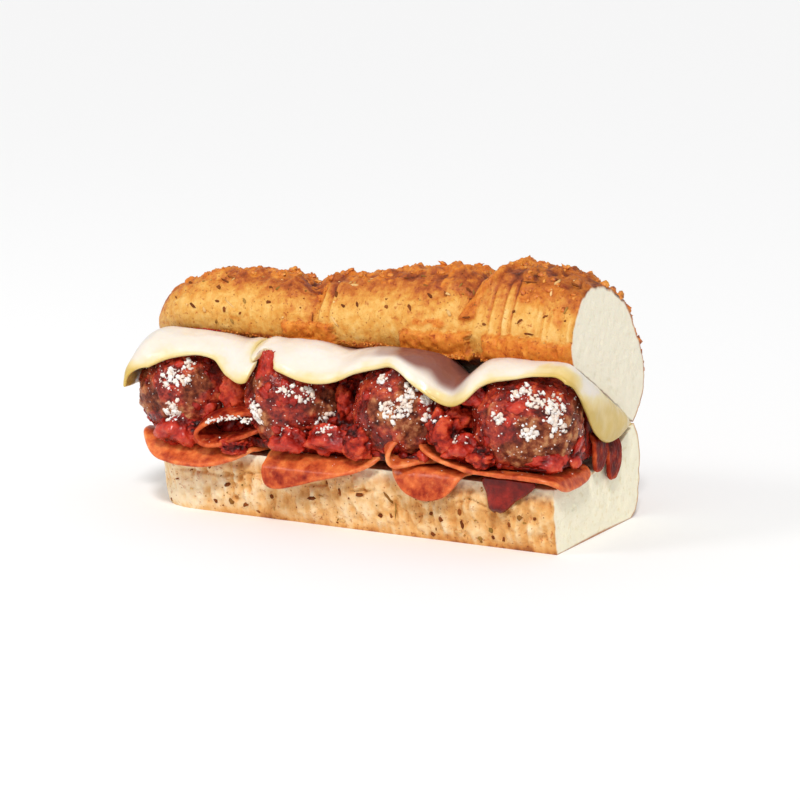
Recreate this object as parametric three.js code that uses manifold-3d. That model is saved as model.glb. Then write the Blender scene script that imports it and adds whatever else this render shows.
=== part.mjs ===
// Half a filled submarine roll lying on its flat underside, in millimetres, +Z up.
// The loaf runs along X with the clean cut end at +X and the rounded end at -X.
// The roll is opened towards -Y: the upper half leans back on the hinge side at +Y.
import * as THREE from "three";
import Module from "manifold-3d";

// Whole object
const CUT_X = 76;
const SHIFT_X = -4.53;
const SHIFT_Y = 1.79;
const GAP = 0.3;
const LOAF_MID_Z = 30;

// Upper bread half: section axes u (hinge to front) and v (up) leaning back by the tilt
const TOP_TILT = 29.06;
const HINGE_Y = 26.0;
const HINGE_Z = 29.2;
const TOP_MID_U = 26;
const TOP_HALF_U = 28;
const TOP_WIDE_V = 10;
const TOP_RISE = 19.7;
const TOP_FRONT_U = 47;
const TOP_TIP_X = -72;
const TOP_TIP_LENGTH = 27;
const TOP_STATIONS = 38;
const TOP_AROUND = 24;
const TOP_ACROSS = 6;
// Height of the crown along the loaf, as a share of its height at the cut end
const CROWN = [
  [-72, 0.68], [-60, 0.73], [-48, 0.79], [-34, 0.85], [-12, 0.86], [4, 0.93],
  [24, 1.03], [40, 1.07], [58, 1.13], [68, 1.07], [76, 0.96],
];
// Furrows where the dough bulges meet: x low on the side, x at the crown, depth, half-width
const FURROWS = [[-9.5, -17.5, 4.4, 4.2], [41, 42, 2.8, 3.4]];
// Ribbons of browned cheese standing proud of the lower front: from x, to x, height
const RIBBONS = [[-18.5, -1, 0.9], [22, 43.5, 1.6], [48, 77, 1.9]];

// Lower bread half
const LOW_FRONT = [[-25.7, 0], [-26.9, 3.5], [-28.2, 9], [-29, 14.6], [-28.1, 19.3]];
const LOW_BACK = [[26.6, 28.7], [29.9, 24], [31.6, 16], [31.2, 7.5], [29.2, 2.4], [25.7, 0]];
const LOW_SAG = 4.2;
const LOW_TIP_X = -63.5;
const LOW_TIP_LENGTH = 20;
const UNDER_HALF_Y = 25.7;
const LOW_STATIONS = 27;

// Meatballs: x of each middle, and the shared size
const BALL_X = [-48.6, -11.6, 25.4, 64];
const BALL_Y = -20;
const BALL_Z = 36;
const BALL_R = [15.8, 15.8, 15.4];
const BALL_ROOM = 3.5;
const BALL_FLOOR = [22.3, 22.3, 22.6, 24.2];

// Cheese
const CHEESE_THICK = 2.1;
const CHEESE_AXIS_Y = -20;
const CHEESE_AXIS_Z = 35.5;

// Pepperoni
const PEPPERONI_THICK = 1.3;
const BED_Z = 21.4;
const FOLD_Y = -29.6;

const wasm = await Module();
wasm.setup();

const rad = (degrees) => (degrees * Math.PI) / 180;
const clamp = (value, low, high) => Math.min(high, Math.max(low, value));
const mix = (a, b, t) => a + (b - a) * t;

// Smooth step from nought at the first value to one at the second
function ease(low, high, value) {
  const t = clamp((value - low) / (high - low), 0, 1);
  return t * t * (3 - 2 * t);
}

// One between low and high, falling to nought over the soft width outside them
function band(low, high, soft, value) {
  return ease(low - soft, low + soft, value) * (1 - ease(high - soft, high + soft, value));
}

function hash(i, j, k) {
  const s = Math.sin(i * 127.1 + j * 311.7 + k * 74.7) * 43758.5453;
  return s - Math.floor(s);
}

// Smooth lattice noise between -1 and 1
function noise(x, y, z) {
  const i = Math.floor(x);
  const j = Math.floor(y);
  const k = Math.floor(z);
  const fade = (t) => t * t * (3 - 2 * t);
  const a = fade(x - i);
  const b = fade(y - j);
  const c = fade(z - k);
  const row = (dj, dk) => mix(hash(i, j + dj, k + dk), hash(i + 1, j + dj, k + dk), a);
  return 2 * mix(mix(row(0, 0), row(1, 0), b), mix(row(0, 1), row(1, 1), b), c) - 1;
}

// Smooth value through [x, value] knots
function curve(knots, x) {
  const last = knots.length - 1;
  if (x <= knots[0][0]) return knots[0][1];
  if (x >= knots[last][0]) return knots[last][1];
  let i = 0;
  while (x > knots[i + 1][0]) i += 1;
  const slope = (n) => {
    const a = knots[Math.max(n - 1, 0)];
    const b = knots[Math.min(n + 1, last)];
    return (b[1] - a[1]) / (b[0] - a[0]);
  };
  const [x0, y0] = knots[i];
  const [x1, y1] = knots[i + 1];
  const h = x1 - x0;
  const t = (x - x0) / h;
  const rise = y0 * (1 + 2 * t) * (1 - t) ** 2 + y1 * t * t * (3 - 2 * t);
  return rise + h * slope(i) * t * (1 - t) ** 2 + h * slope(i + 1) * t * t * (t - 1);
}

// Dense points on a smooth open path through a few points
function path(points, steps) {
  const at = (axis) => points.map((p, i) => [i, p[axis]]);
  const knots = points[0].map((_, axis) => at(axis));
  const dense = [];
  for (let n = 0; n <= steps; n += 1) {
    dense.push(knots.map((k) => curve(k, (n * (points.length - 1)) / steps)));
  }
  return dense;
}

// Table of a dense path by its length from the start
function measured(dense) {
  let s = 0;
  return dense.map((p, i) => {
    if (i > 0) s += Math.hypot(...p.map((value, axis) => value - dense[i - 1][axis]));
    return [s, ...p];
  });
}

// Point of a measured path at length s, carried straight on past its ends
function along(table, s) {
  const last = table.length - 1;
  let i = 0;
  while (i < last - 1 && table[i + 1][0] < s) i += 1;
  const t = (s - table[i][0]) / (table[i + 1][0] - table[i][0]);
  return table[i].slice(1).map((value, axis) => mix(value, table[i + 1][axis + 1], t));
}

const pathLength = (table) => table[table.length - 1][0];

// Share of full size near a rounded end that begins at nought
function endShare(distance, length, power) {
  const t = clamp(1 - distance / length, 0, 1);
  return Math.pow(1 - Math.pow(t, power), 1 / power);
}

function signedVolume(shape) {
  let sum = 0;
  for (let i = 0; i < shape.t.length; i += 3) {
    const [a, b, c] = [0, 1, 2].map((n) => shape.t[i + n] * 3);
    const p = shape.p;
    sum += p[a] * (p[b + 1] * p[c + 2] - p[b + 2] * p[c + 1]);
    sum -= p[a + 1] * (p[b] * p[c + 2] - p[b + 2] * p[c]);
    sum += p[a + 2] * (p[b] * p[c + 1] - p[b + 1] * p[c]);
  }
  return sum / 6;
}

function faceOut(shape) {
  if (signedVolume(shape) < 0) {
    for (let i = 0; i < shape.t.length; i += 3) {
      [shape.t[i + 1], shape.t[i + 2]] = [shape.t[i + 2], shape.t[i + 1]];
    }
  }
  return shape;
}

// Closed body from rings of points, each end closed on a middle point
function loft(rings, startPoint, endPoint) {
  const n = rings[0].length;
  const p = rings.flat(2);
  const t = [];
  for (let i = 0; i < rings.length - 1; i += 1) {
    for (let j = 0; j < n; j += 1) {
      const a = i * n + j;
      const b = i * n + ((j + 1) % n);
      t.push(a, b, a + n, b, b + n, a + n);
    }
  }
  const first = p.length / 3;
  p.push(...startPoint, ...endPoint);
  const base = (rings.length - 1) * n;
  for (let j = 0; j < n; j += 1) {
    const k = (j + 1) % n;
    t.push(first, k, j);
    t.push(first + 1, base + j, base + k);
  }
  return faceOut({ p, t });
}

const subtract3 = (a, b) => [a[0] - b[0], a[1] - b[1], a[2] - b[2]];
const addScaled = (a, b, s) => [a[0] + b[0] * s, a[1] + b[1] * s, a[2] + b[2] * s];

function cross(a, b) {
  return [a[1] * b[2] - a[2] * b[1], a[2] * b[0] - a[0] * b[2], a[0] * b[1] - a[1] * b[0]];
}

function unit(a) {
  const length = Math.hypot(...a) || 1;
  return [a[0] / length, a[1] / length, a[2] / length];
}

// Thin closed sheet from a rectangular grid of middle points, both faces split alike
function gridSheet(grid, thick) {
  const rows = grid.length;
  const cols = grid[0].length;
  const normal = (i, j) => {
    const du = subtract3(grid[Math.min(i + 1, rows - 1)][j], grid[Math.max(i - 1, 0)][j]);
    const dv = subtract3(grid[i][Math.min(j + 1, cols - 1)], grid[i][Math.max(j - 1, 0)]);
    return unit(cross(du, dv));
  };
  const p = [];
  for (const side of [0.5, -0.5]) {
    for (let i = 0; i < rows; i += 1) {
      for (let j = 0; j < cols; j += 1) {
        p.push(...addScaled(grid[i][j], normal(i, j), side * thick));
      }
    }
  }
  const t = [];
  const under = rows * cols;
  for (let i = 0; i < rows - 1; i += 1) {
    for (let j = 0; j < cols - 1; j += 1) {
      const a = i * cols + j;
      const b = a + 1;
      const c = a + cols;
      const d = c + 1;
      t.push(a, c, b, b, c, d);
      t.push(under + a, under + b, under + c, under + b, under + d, under + c);
    }
  }
  const rim = [];
  for (let j = 0; j < cols; j += 1) rim.push(j);
  for (let i = 1; i < rows; i += 1) rim.push(i * cols + cols - 1);
  for (let j = cols - 2; j >= 0; j -= 1) rim.push((rows - 1) * cols + j);
  for (let i = rows - 2; i >= 1; i -= 1) rim.push(i * cols);
  rim.forEach((a, n) => {
    const b = rim[(n + 1) % rim.length];
    t.push(a, b, under + b, a, under + b, under + a);
  });
  return faceOut({ p, t });
}

// Thin closed disc bent by a function of its flat place, both faces split alike
function discSheet(bend, outline, rings, sectors, thick) {
  const spot = (r, q) => {
    const [a, b] = outline((q * 2 * Math.PI) / sectors);
    return bend(a * r, b * r);
  };
  const normal = (a, b) => {
    const e = 0.02;
    const du = subtract3(bend(a + e, b), bend(a - e, b));
    const dv = subtract3(bend(a, b + e), bend(a, b - e));
    return unit(cross(du, dv));
  };
  const p = [];
  for (const side of [0.5, -0.5]) {
    p.push(...addScaled(bend(0, 0), normal(0, 0), side * thick));
    for (let m = 1; m <= rings; m += 1) {
      for (let q = 0; q < sectors; q += 1) {
        const [a, b] = outline((q * 2 * Math.PI) / sectors);
        const r = m / rings;
        p.push(...addScaled(spot(r, q), normal(a * r, b * r), side * thick));
      }
    }
  }
  const under = 1 + rings * sectors;
  const t = [];
  const face = (a, b, c) => {
    t.push(a, b, c);
    t.push(under + a, under + c, under + b);
  };
  for (let q = 0; q < sectors; q += 1) {
    const k = (q + 1) % sectors;
    face(0, 1 + q, 1 + k);
    for (let m = 0; m < rings - 1; m += 1) {
      const a = 1 + m * sectors;
      face(a + q, a + sectors + q, a + k);
      face(a + k, a + sectors + q, a + sectors + k);
    }
    const rim = 1 + (rings - 1) * sectors;
    t.push(rim + q, under + rim + q, rim + k, rim + k, under + rim + q, under + rim + k);
  }
  return faceOut({ p, t });
}

function toSolid(shape) {
  const mesh = new wasm.Mesh({
    numProp: 3,
    vertProperties: new Float32Array(shape.p),
    triVerts: new Uint32Array(shape.t),
  });
  return new wasm.Manifold(mesh);
}

function fromSolid(solid) {
  const mesh = solid.getMesh();
  return { p: Array.from(mesh.vertProperties), t: Array.from(mesh.triVerts) };
}

const joined = (solid, others) => others.reduce((whole, next) => whole.add(next), solid);
const cutBy = (solid, others) => others.reduce((whole, next) => whole.subtract(next), solid);

function largestPiece(solid) {
  const pieces = solid.decompose();
  pieces.sort((a, b) => b.volume() - a.volume());
  return pieces[0];
}

// The same body without triangles too small to matter
const TRIM = 0.1;
const SAUCE_TRIM = 0.2;
const trimmed = (solid, size) => largestPiece(solid).asOriginal().simplify(size);

// Small faceted lump at a place, stretched along three directions
function lump(middle, axes, sizes, seed) {
  const corners = [];
  const tips = [[1, 0, 0], [0, 1, 0], [-1, 0, 0], [0, -1, 0]];
  tips.forEach((tip, n) => {
    const share = 0.8 + 0.4 * hash(n, seed, 5);
    corners.push([tip[0] * share, tip[1] * share, 0]);
  });
  corners.push([0.2 * (hash(seed, 1, 1) - 0.5), 0.2 * (hash(seed, 2, 1) - 0.5), 1]);
  corners.push([0, 0, -1]);
  const p = corners.flatMap((c) => {
    let q = middle;
    c.forEach((value, n) => {
      q = addScaled(q, axes[n], value * sizes[n]);
    });
    return q;
  });
  const t = [];
  for (let n = 0; n < 4; n += 1) {
    t.push(n, (n + 1) % 4, 4, (n + 1) % 4, n, 5);
  }
  return faceOut({ p, t });
}

// Rounded lump of a few bands, for chunks in the sauce
function chunk(middle, sizes, seed) {
  const rings = [];
  const bands = 4;
  const around = 6;
  const point = (theta, phi) => {
    const d = [Math.sin(theta) * Math.cos(phi), Math.sin(theta) * Math.sin(phi), Math.cos(theta)];
    const r = 1 + 0.28 * noise(d[0] * 1.6 + seed, d[1] * 1.6, d[2] * 1.6);
    return d.map((value, axis) => middle[axis] + value * r * sizes[axis]);
  };
  for (let i = 1; i < bands; i += 1) {
    const ring = [];
    for (let j = 0; j < around; j += 1) {
      ring.push(point((Math.PI * i) / bands, (2 * Math.PI * j) / around));
    }
    rings.push(ring);
  }
  return loft(rings, point(0, 0), point(Math.PI, 0));
}

// Upper bread half: outside of its section, front lower corner to hinge corner
function topOutline() {
  const dense = [];
  const steps = 240;
  const lowFront = Math.acos((TOP_FRONT_U - TOP_MID_U) / TOP_HALF_U);
  const lowBack = Math.acos(TOP_MID_U / TOP_HALF_U);
  const dropFront = TOP_WIDE_V / Math.sin(lowFront);
  const dropBack = TOP_WIDE_V / Math.sin(lowBack);
  for (let n = 0; n <= steps; n += 1) {
    const angle = mix(-lowFront, Math.PI + lowBack, n / steps);
    const c = Math.cos(angle);
    const s = Math.sin(angle);
    let power = 2;
    if (s > 0) power = c > 0 ? 2.45 : 1.65;
    const rise = s > 0 ? TOP_RISE : c > 0 ? dropFront : dropBack;
    dense.push([
      TOP_MID_U + TOP_HALF_U * Math.sign(c) * Math.abs(c) ** (2 / power),
      TOP_WIDE_V + rise * Math.sign(s) * Math.abs(s) ** (2 / power),
    ]);
  }
  return measured(dense);
}

const TOP_TABLE = topOutline();
const TOP_LENGTH = pathLength(TOP_TABLE);

// Relief of the crust: furrows, ribbons, soft dough lumps and craggy browned cheese
function topRelief(x, s) {
  let h = 0;
  for (const [low, high, depth, width] of FURROWS) {
    const middle = mix(low, high, ease(18, 38, s));
    const weight = mix(0.35, 1, ease(4, 26, s)) * (1 - 0.5 * ease(45, 80, s));
    h -= depth * weight * Math.exp(-(((x - middle) / width) ** 2));
  }
  for (const [from, to, height] of RIBBONS) {
    h += height * band(from, to, 0.9, x) * band(1.2, 7.6, 0.8, s);
  }
  h += 0.7 * noise(x / 13, s / 13, 3.3) + 0.3 * noise(x / 6, s / 6, 7.7);
  const craggy = ease(15, 27, s) * (1 - ease(52, 72, s));
  h += craggy * 1.5 * Math.max(0, noise(x / 3.6, s / 3.6, 9.1) + 0.15);
  return h * ease(0, 2.5, s) * ease(0, 6, TOP_LENGTH - s);
}

function topPlace(x, u, v) {
  const tilt = rad(TOP_TILT);
  return [
    x,
    HINGE_Y - u * Math.cos(tilt) + v * Math.sin(tilt),
    HINGE_Z + u * Math.sin(tilt) + v * Math.cos(tilt),
  ];
}

// Point of the section at a station, with the size it has there
function topScaled(x, u, v) {
  const share = endShare(x - TOP_TIP_X, TOP_TIP_LENGTH, 2.1);
  const tall = v * curve(CROWN, x);
  return topPlace(x, 28 + (u - 28) * share, 4 + (tall - 4) * share);
}

// Point of the crust, lifted by the relief across the section
function topSkin(x, s) {
  const e = 0.5;
  const [u, v] = along(TOP_TABLE, s);
  const before = along(TOP_TABLE, Math.max(s - e, 0));
  const after = along(TOP_TABLE, Math.min(s + e, TOP_LENGTH));
  const [nu, nv] = [after[1] - before[1], before[0] - after[0]];
  const size = Math.hypot(nu, nv);
  const share = endShare(x - TOP_TIP_X, TOP_TIP_LENGTH, 2.1);
  const h = (topRelief(x, s) * share) / size;
  const [x0, y, z] = topScaled(x, u, v);
  const tilt = rad(TOP_TILT);
  return [
    x0,
    y - nu * h * Math.cos(tilt) + nv * h * Math.sin(tilt),
    z + nu * h * Math.sin(tilt) + nv * h * Math.cos(tilt),
  ];
}

// Stations packed closer towards the rounded end
function stations(tip, count) {
  const list = [];
  for (let i = 0; i < count; i += 1) {
    const t = i / (count - 1);
    const start = 0.35;
    list.push(mix(tip + start, CUT_X, t ** 1.25));
  }
  return list;
}

function surfaceFrame(skin, x, s) {
  const e = 0.4;
  const middle = skin(x, s);
  const along1 = unit(subtract3(skin(x + e, s), skin(x - e, s)));
  const around1 = unit(subtract3(skin(x, s + e), skin(x, s - e)));
  let out = unit(cross(along1, around1));
  if (out[1] * middle[1] + out[2] * (middle[2] - LOAF_MID_Z) < 0) out = out.map((v) => -v);
  return { middle, along1, around1, out };
}

// Herb slivers seen on the crust: x, place along the section, turn in degrees, half-length
const HERBS_TOP = [
  [-54.3, 22.5, 20, 1.4], [-41, 21, 15, 2], [-39, 22.2, 20, 1.6], [-49.7, 10.7, 30, 1.3],
  [-36.4, 11.5, 35, 1.9], [-31.9, 13.1, 40, 1.4], [-22.1, 19.1, 20, 1.4], [-9.1, 9, 90, 1.3],
  [2.5, 21.8, 0, 1.3], [-0.8, 8.8, 50, 1.8], [-19.3, 33, 0, 1.3], [18.4, 24, 0, 1.4],
  [25.8, 21.4, 15, 1.4], [33.4, 18.5, 45, 1.3], [42.3, 11.9, -10, 1.5], [59.1, 11.7, -50, 1.3],
  [66.5, 13.8, -30, 1.3], [59.2, 22.6, 10, 2], [72.5, 17, 80, 1.3], [66.8, 24.6, -30, 1.3],
  [66.3, 21, 85, 1.6], [62.2, 8.7, 0, 1.6],
];
const HERBS_LOW = [
  [-31.9, 9.6, 0, 1.2], [-36.3, 3.8, 90, 1.2], [-2.2, 8.9, 0, 1.3], [7.5, 11.5, 100, 2.1],
  [14, 11.6, 0, 1.3], [23.3, 11.7, 55, 2], [24.7, 9.2, 80, 2.4], [6, 2.6, 5, 1.5],
  [2.2, 13.8, -50, 1.6], [46.6, 6.1, 80, 1.4], [40.4, 7.2, 80, 1.2], [62.5, 8.1, 80, 1.2],
  [46.2, 9.9, 90, 1.3], [45.5, 3.8, -5, 1.6], [55.7, 5.2, 60, 1.2],
];
const HERB_HALF_WIDTH = 0.5;
const HERB_HALF_THICK = 0.45;

// Small lump lying half sunk in a skin and turned in its plane
function fleck(skin, x, s, turn, size, seed) {
  const f = surfaceFrame(skin, x, s);
  const a = addScaled(f.along1.map((v) => v * Math.cos(turn)), f.around1, Math.sin(turn));
  const b = unit(cross(f.out, a));
  return toSolid(lump(f.middle, [unit(a), b, f.out], size, seed));
}

function herbs(skin, marks) {
  return marks.map(([x, s, turn, long], n) =>
    fleck(skin, x, s, rad(turn), [long, HERB_HALF_WIDTH, HERB_HALF_THICK], n),
  );
}

// Browned crumbs strewn over a stretch of crust: from x, to x, from s, to s
function strewn(skin, count, range, sizes, seed) {
  const list = [];
  for (let n = 0; n < count; n += 1) {
    const x = mix(range[0], range[1], hash(n, seed, 1));
    const s = mix(range[2], range[3], hash(n, seed, 2));
    const grow = mix(0.75, 1.3, hash(n, seed, 4));
    const size = sizes.map((v) => v * grow);
    list.push(fleck(skin, x, s, hash(n, seed, 3) * Math.PI, size, n + seed));
  }
  return list;
}

function breadTop() {
  const rings = [];
  for (const x of stations(TOP_TIP_X, TOP_STATIONS)) {
    const ring = [];
    for (let j = 0; j < TOP_AROUND; j += 1) {
      const t = j / (TOP_AROUND - 1);
      const spread = mix(t, t * t, 0.35);
      ring.push(topSkin(x, TOP_LENGTH * spread));
    }
    for (let j = 1; j < TOP_ACROSS; j += 1) {
      ring.push(topScaled(x, (TOP_FRONT_U * j) / TOP_ACROSS, 0));
    }
    rings.push(ring);
  }
  const tip = topPlace(TOP_TIP_X, 28, 4);
  const crumb = topPlace(CUT_X, 26, 13);
  const body = toSolid(loft(rings, tip, crumb));
  const bits = strewn(topSkin, 16, [-56, 75, 18, 44], [1.9, 1.5, 0.9], 23);
  const rim = strewn(topSkin, 5, [73.6, 74.6, 30, 68], [1.5, 1.3, 1.4], 31);
  return trimmed(joined(body, [...herbs(topSkin, HERBS_TOP), ...bits, ...rim]), TRIM);
}

// Lower bread half: surface that the filling lies on, along Y
function bedHeight(y) {
  const [y0, z0] = LOW_FRONT[LOW_FRONT.length - 1];
  const [y1, z1] = LOW_BACK[0];
  const t = clamp((y - y0) / (y1 - y0), 0, 1);
  return mix(z0, z1, t) - LOW_SAG * 4 * t * (1 - t);
}

function lowRelief(x, y, z) {
  const lumps = 0.7 * noise(x / 9, z / 7, 2.2) + 0.45 * noise(x / 4, z / 5, 5.1);
  const side = Math.sign(y);
  return side * lumps * ease(0, 4, z) * (1 - ease(17, 21, z));
}

function lowScaled(x, y, z) {
  const share = endShare(x - LOW_TIP_X, LOW_TIP_LENGTH, 2.4);
  const tall = endShare(x - LOW_TIP_X, LOW_TIP_LENGTH * 0.5, 2.2);
  return [x, 1 + (y - 1) * share, 10 + (z - 10) * tall];
}

const LOW_FRONT_TABLE = measured(path(LOW_FRONT, 80));
const LOW_BACK_TABLE = measured(path(LOW_BACK, 100));

function lowFrontSkin(x, s) {
  const [y, z] = along(LOW_FRONT_TABLE, s);
  return lowScaled(x, y + lowRelief(x, y, z), z);
}

function breadBottom() {
  const rings = [];
  const counts = [7, 9, 7, 5];
  for (const x of stations(LOW_TIP_X, LOW_STATIONS)) {
    const ring = [];
    for (let j = 0; j < counts[0]; j += 1) {
      ring.push(lowFrontSkin(x, (pathLength(LOW_FRONT_TABLE) * j) / counts[0]));
    }
    const [y0] = LOW_FRONT[LOW_FRONT.length - 1];
    const [y1] = LOW_BACK[0];
    for (let j = 0; j < counts[1]; j += 1) {
      const y = mix(y0, y1, j / counts[1]);
      ring.push(lowScaled(x, y, bedHeight(y)));
    }
    for (let j = 0; j < counts[2]; j += 1) {
      const [y, z] = along(LOW_BACK_TABLE, (pathLength(LOW_BACK_TABLE) * j) / counts[2]);
      ring.push(lowScaled(x, y + lowRelief(x, y, z), z));
    }
    for (let j = 0; j < counts[3]; j += 1) {
      ring.push(lowScaled(x, mix(UNDER_HALF_Y, -UNDER_HALF_Y, j / counts[3]), 0));
    }
    rings.push(ring);
  }
  const body = toSolid(loft(rings, [LOW_TIP_X, 1, 10], [CUT_X, 1, 12]));
  return largestPiece(joined(body, herbs(lowFrontSkin, HERBS_LOW)));
}

// Meatball surface towards a direction
function ballSkin(index, theta, phi, grow) {
  const d = [Math.sin(theta) * Math.cos(phi), Math.sin(theta) * Math.sin(phi), Math.cos(theta)];
  const coarse = noise(d[0] * 1.7 + index * 9, d[1] * 1.7, d[2] * 1.7);
  const fine = noise(d[0] * 4 + index * 7, d[1] * 4, d[2] * 4 + 3);
  const r = 1 + 0.045 * coarse + 0.03 * fine;
  const middle = [BALL_X[index], BALL_Y, BALL_Z];
  const p = d.map((value, axis) => middle[axis] + value * (BALL_R[axis] * r + grow));
  const roof = HINGE_Z + Math.tan(rad(TOP_TILT)) * (HINGE_Y - p[1]) - BALL_ROOM;
  p[2] = clamp(p[2], BALL_FLOOR[index] - grow, roof + grow);
  return p;
}

function ballBody(index, bands, around, grow) {
  const rings = [];
  for (let i = 1; i < bands; i += 1) {
    const ring = [];
    for (let j = 0; j < around; j += 1) {
      ring.push(ballSkin(index, (Math.PI * i) / bands, (2 * Math.PI * j) / around, grow));
    }
    rings.push(ring);
  }
  const top = ballSkin(index, 0, 0, grow);
  const bottom = ballSkin(index, Math.PI, 0, grow);
  return toSolid(loft(rings, top, bottom));
}

// Grated cheese clusters on each meatball: polar angle, azimuth, size
const CRUMBS = [
  [[53, -66, 1.6], [74, -87, 2.5], [65, -81, 1.9], [71, -63, 1.4], [106, -78, 2.4], [101, -14, 2]],
  [[71, -75, 1.4], [74, -52, 2.4], [92, -117, 1.7], [103, -108, 1.6], [103, -28, 2.2]],
  [[59, -59, 1.8], [71, -67, 2.8], [79, -73, 2.2], [68, -42, 1.8], [86, -37, 1.6], [46, -103, 1.5],
    [76, -85, 2]],
  [[46, -75, 1.9], [49, -87, 1.4], [54, -56, 2.5], [62, -35, 2.7], [74, -36, 2.3],
    [83, -34, 2.3], [88, -63, 1.9], [78, -96, 1.6]],
];

function crumbLumps(index) {
  return CRUMBS[index].map(([theta, phi, size], n) => {
    const p = ballSkin(index, rad(theta), rad(phi), 0);
    const out = unit(subtract3(p, [BALL_X[index], BALL_Y, BALL_Z]));
    const side = unit(cross(out, [0, 0, 1]));
    const up = cross(side, out);
    return toSolid(lump(p, [side, up, out], [size, size * 0.8, 1.1], n + 60 + index));
  });
}

// Height at which the cheese edge ends in front, along the loaf
const CHEESE_EDGE = [
  [-66, 38], [-57.4, 42.6], [-46.6, 47.4], [-34.3, 48.3], [-27.4, 44], [-20.2, 42.6],
  [-18.1, 49], [-10.3, 46.2], [1.5, 44.4], [14.8, 48], [23, 50.2], [27.9, 49.2], [34.4, 46.3],
  [45.6, 42.4], [50.4, 43.4], [55.1, 47.8], [66, 50.6], [74, 51.4],
];
// Height of the flap that hangs at the cut end, along Y
const FLAP_EDGE = [
  [-40, 51.5], [-30, 50.5], [-22.5, 46.5], [-15.7, 39], [-8.7, 31.8], [-1.7, 28.4], [5.3, 28.4],
  [12.3, 30.1], [20, 31.2], [24, 32],
];
const END_FLAP_EDGE = [[-40, 37.6], [-15, 36], [10, 33], [24, 34]];
const CHEESE_R_FRONT = 17.6;
// Sags between the meatballs: x, depth, half-width
const CHEESE_SAGS = [[-29, 1.4, 6], [6, 2, 7], [43.5, 6, 6.5]];

function cheeseRadius(x, angle) {
  let r = CHEESE_R_FRONT;
  for (const [middle, depth, width] of CHEESE_SAGS) {
    r -= depth * Math.exp(-(((x - middle) / width) ** 2)) * ease(rad(-5), rad(50), angle);
  }
  r += 0.25 * noise(x / 9, angle * 2, 4.4);
  const tilt = Math.tan(rad(TOP_TILT));
  const reach = HINGE_Z + tilt * (HINGE_Y - CHEESE_AXIS_Y) - CHEESE_ROOM - CHEESE_AXIS_Z;
  const slope = Math.sin(angle) - tilt * Math.cos(angle);
  return slope > 0.3 ? Math.min(r, reach / slope) : r;
}

const CHEESE_ROOM = 1.75;
const CHEESE_BACK_Y = 22.8;
const CHEESE_START_ANGLE = 113;
const CHEESE_BACK_SHARE = 0.38;

// Middle of the cheese at x, from the hinge side (t 0) round to its front edge (t 1)
function cheeseMiddle(x, t) {
  const start = rad(CHEESE_START_ANGLE);
  const polar = (angle) => {
    const r = cheeseRadius(x, angle);
    return [CHEESE_AXIS_Y - r * Math.cos(angle), CHEESE_AXIS_Z + r * Math.sin(angle)];
  };
  if (t < CHEESE_BACK_SHARE) {
    const [y1, z1] = polar(start);
    const y = mix(CHEESE_BACK_Y, y1, t / CHEESE_BACK_SHARE);
    const plane = (value) => HINGE_Z + Math.tan(rad(TOP_TILT)) * (HINGE_Y - value) - CHEESE_ROOM;
    const dip = (plane(y1) - z1) * ease(0, 1, t / CHEESE_BACK_SHARE);
    return [x, y, plane(y) - dip];
  }
  const rise = (curve(CHEESE_EDGE, x) - CHEESE_AXIS_Z) / CHEESE_R_FRONT;
  const end = Math.asin(clamp(rise, -0.2, 0.98));
  const share = (t - CHEESE_BACK_SHARE) / (1 - CHEESE_BACK_SHARE);
  const [y, z] = polar(mix(start, end, share));
  return [x, y, z];
}

// Where the slices end beside each other, from the hinge side to the front edge
const FIRST_END = (t) => mix(-22.6, -18.6, ease(0.5, 1, t));
const SECOND_START = (t) => mix(-22.2, -12.2, ease(0.5, 1, t));

// Cheese past an end of the slice: bends down over a radius to a given height
function cheeseOver(t, drape, share) {
  const { x, sign, edge } = drape;
  const [, y, z] = cheeseMiddle(x, t);
  const radius = mix(drape.frontRadius, drape.radius, ease(-34, -22, y));
  const drop = Math.max(z - curve(edge, y), 0.4);
  const quarter = (radius * Math.PI) / 2;
  const reach = drop > radius ? quarter + drop - radius : radius * Math.acos(1 - drop / radius);
  const e = reach * share;
  if (e > quarter) return [x + sign * radius, y, z - radius - (e - quarter)];
  return [x + sign * radius * Math.sin(e / radius), y, z - radius * (1 - Math.cos(e / radius))];
}

// Slice between two ends given along t, with a drape past one of them
function cheeseSlice(ends, columns, rows, drape, grow) {
  const grid = [];
  const column = (place) => {
    const points = [];
    for (let j = 0; j <= rows; j += 1) points.push(place((j / rows) * (1 + grow / 30)));
    grid.push(points);
  };
  const hung = (share) => column((t) => cheeseOver(t, drape, share));
  for (let i = drape.columns; i > 0 && drape.sign < 0; i -= 1) hung(i / drape.columns);
  const sides = [drape.sign > 0 ? grow : 0, drape.sign < 0 ? grow : 0];
  for (let i = 0; i <= columns; i += 1) {
    const span = (t) => mix(ends[0](t) - sides[0], ends[1](t) + sides[1], i / columns);
    column((t) => cheeseMiddle(span(t), t));
  }
  for (let i = 1; i <= drape.columns && drape.sign > 0; i += 1) hung(i / drape.columns);
  return toSolid(gridSheet(grid, CHEESE_THICK + 2 * grow));
}

const LEFT_DRAPE = { x: -54.6, sign: -1, radius: 11.3, frontRadius: 8.6, edge: END_FLAP_EDGE, columns: 4 };
const RIGHT_DRAPE = { x: 75, sign: 1, radius: 5, frontRadius: 5, edge: FLAP_EDGE, columns: 4 };

function cheese(index, grow) {
  const first = [() => LEFT_DRAPE.x, FIRST_END];
  const second = [SECOND_START, () => RIGHT_DRAPE.x];
  if (index === 0) return cheeseSlice(first, 10, 10, LEFT_DRAPE, grow);
  return cheeseSlice(second, 24, 10, RIGHT_DRAPE, grow);
}

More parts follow.
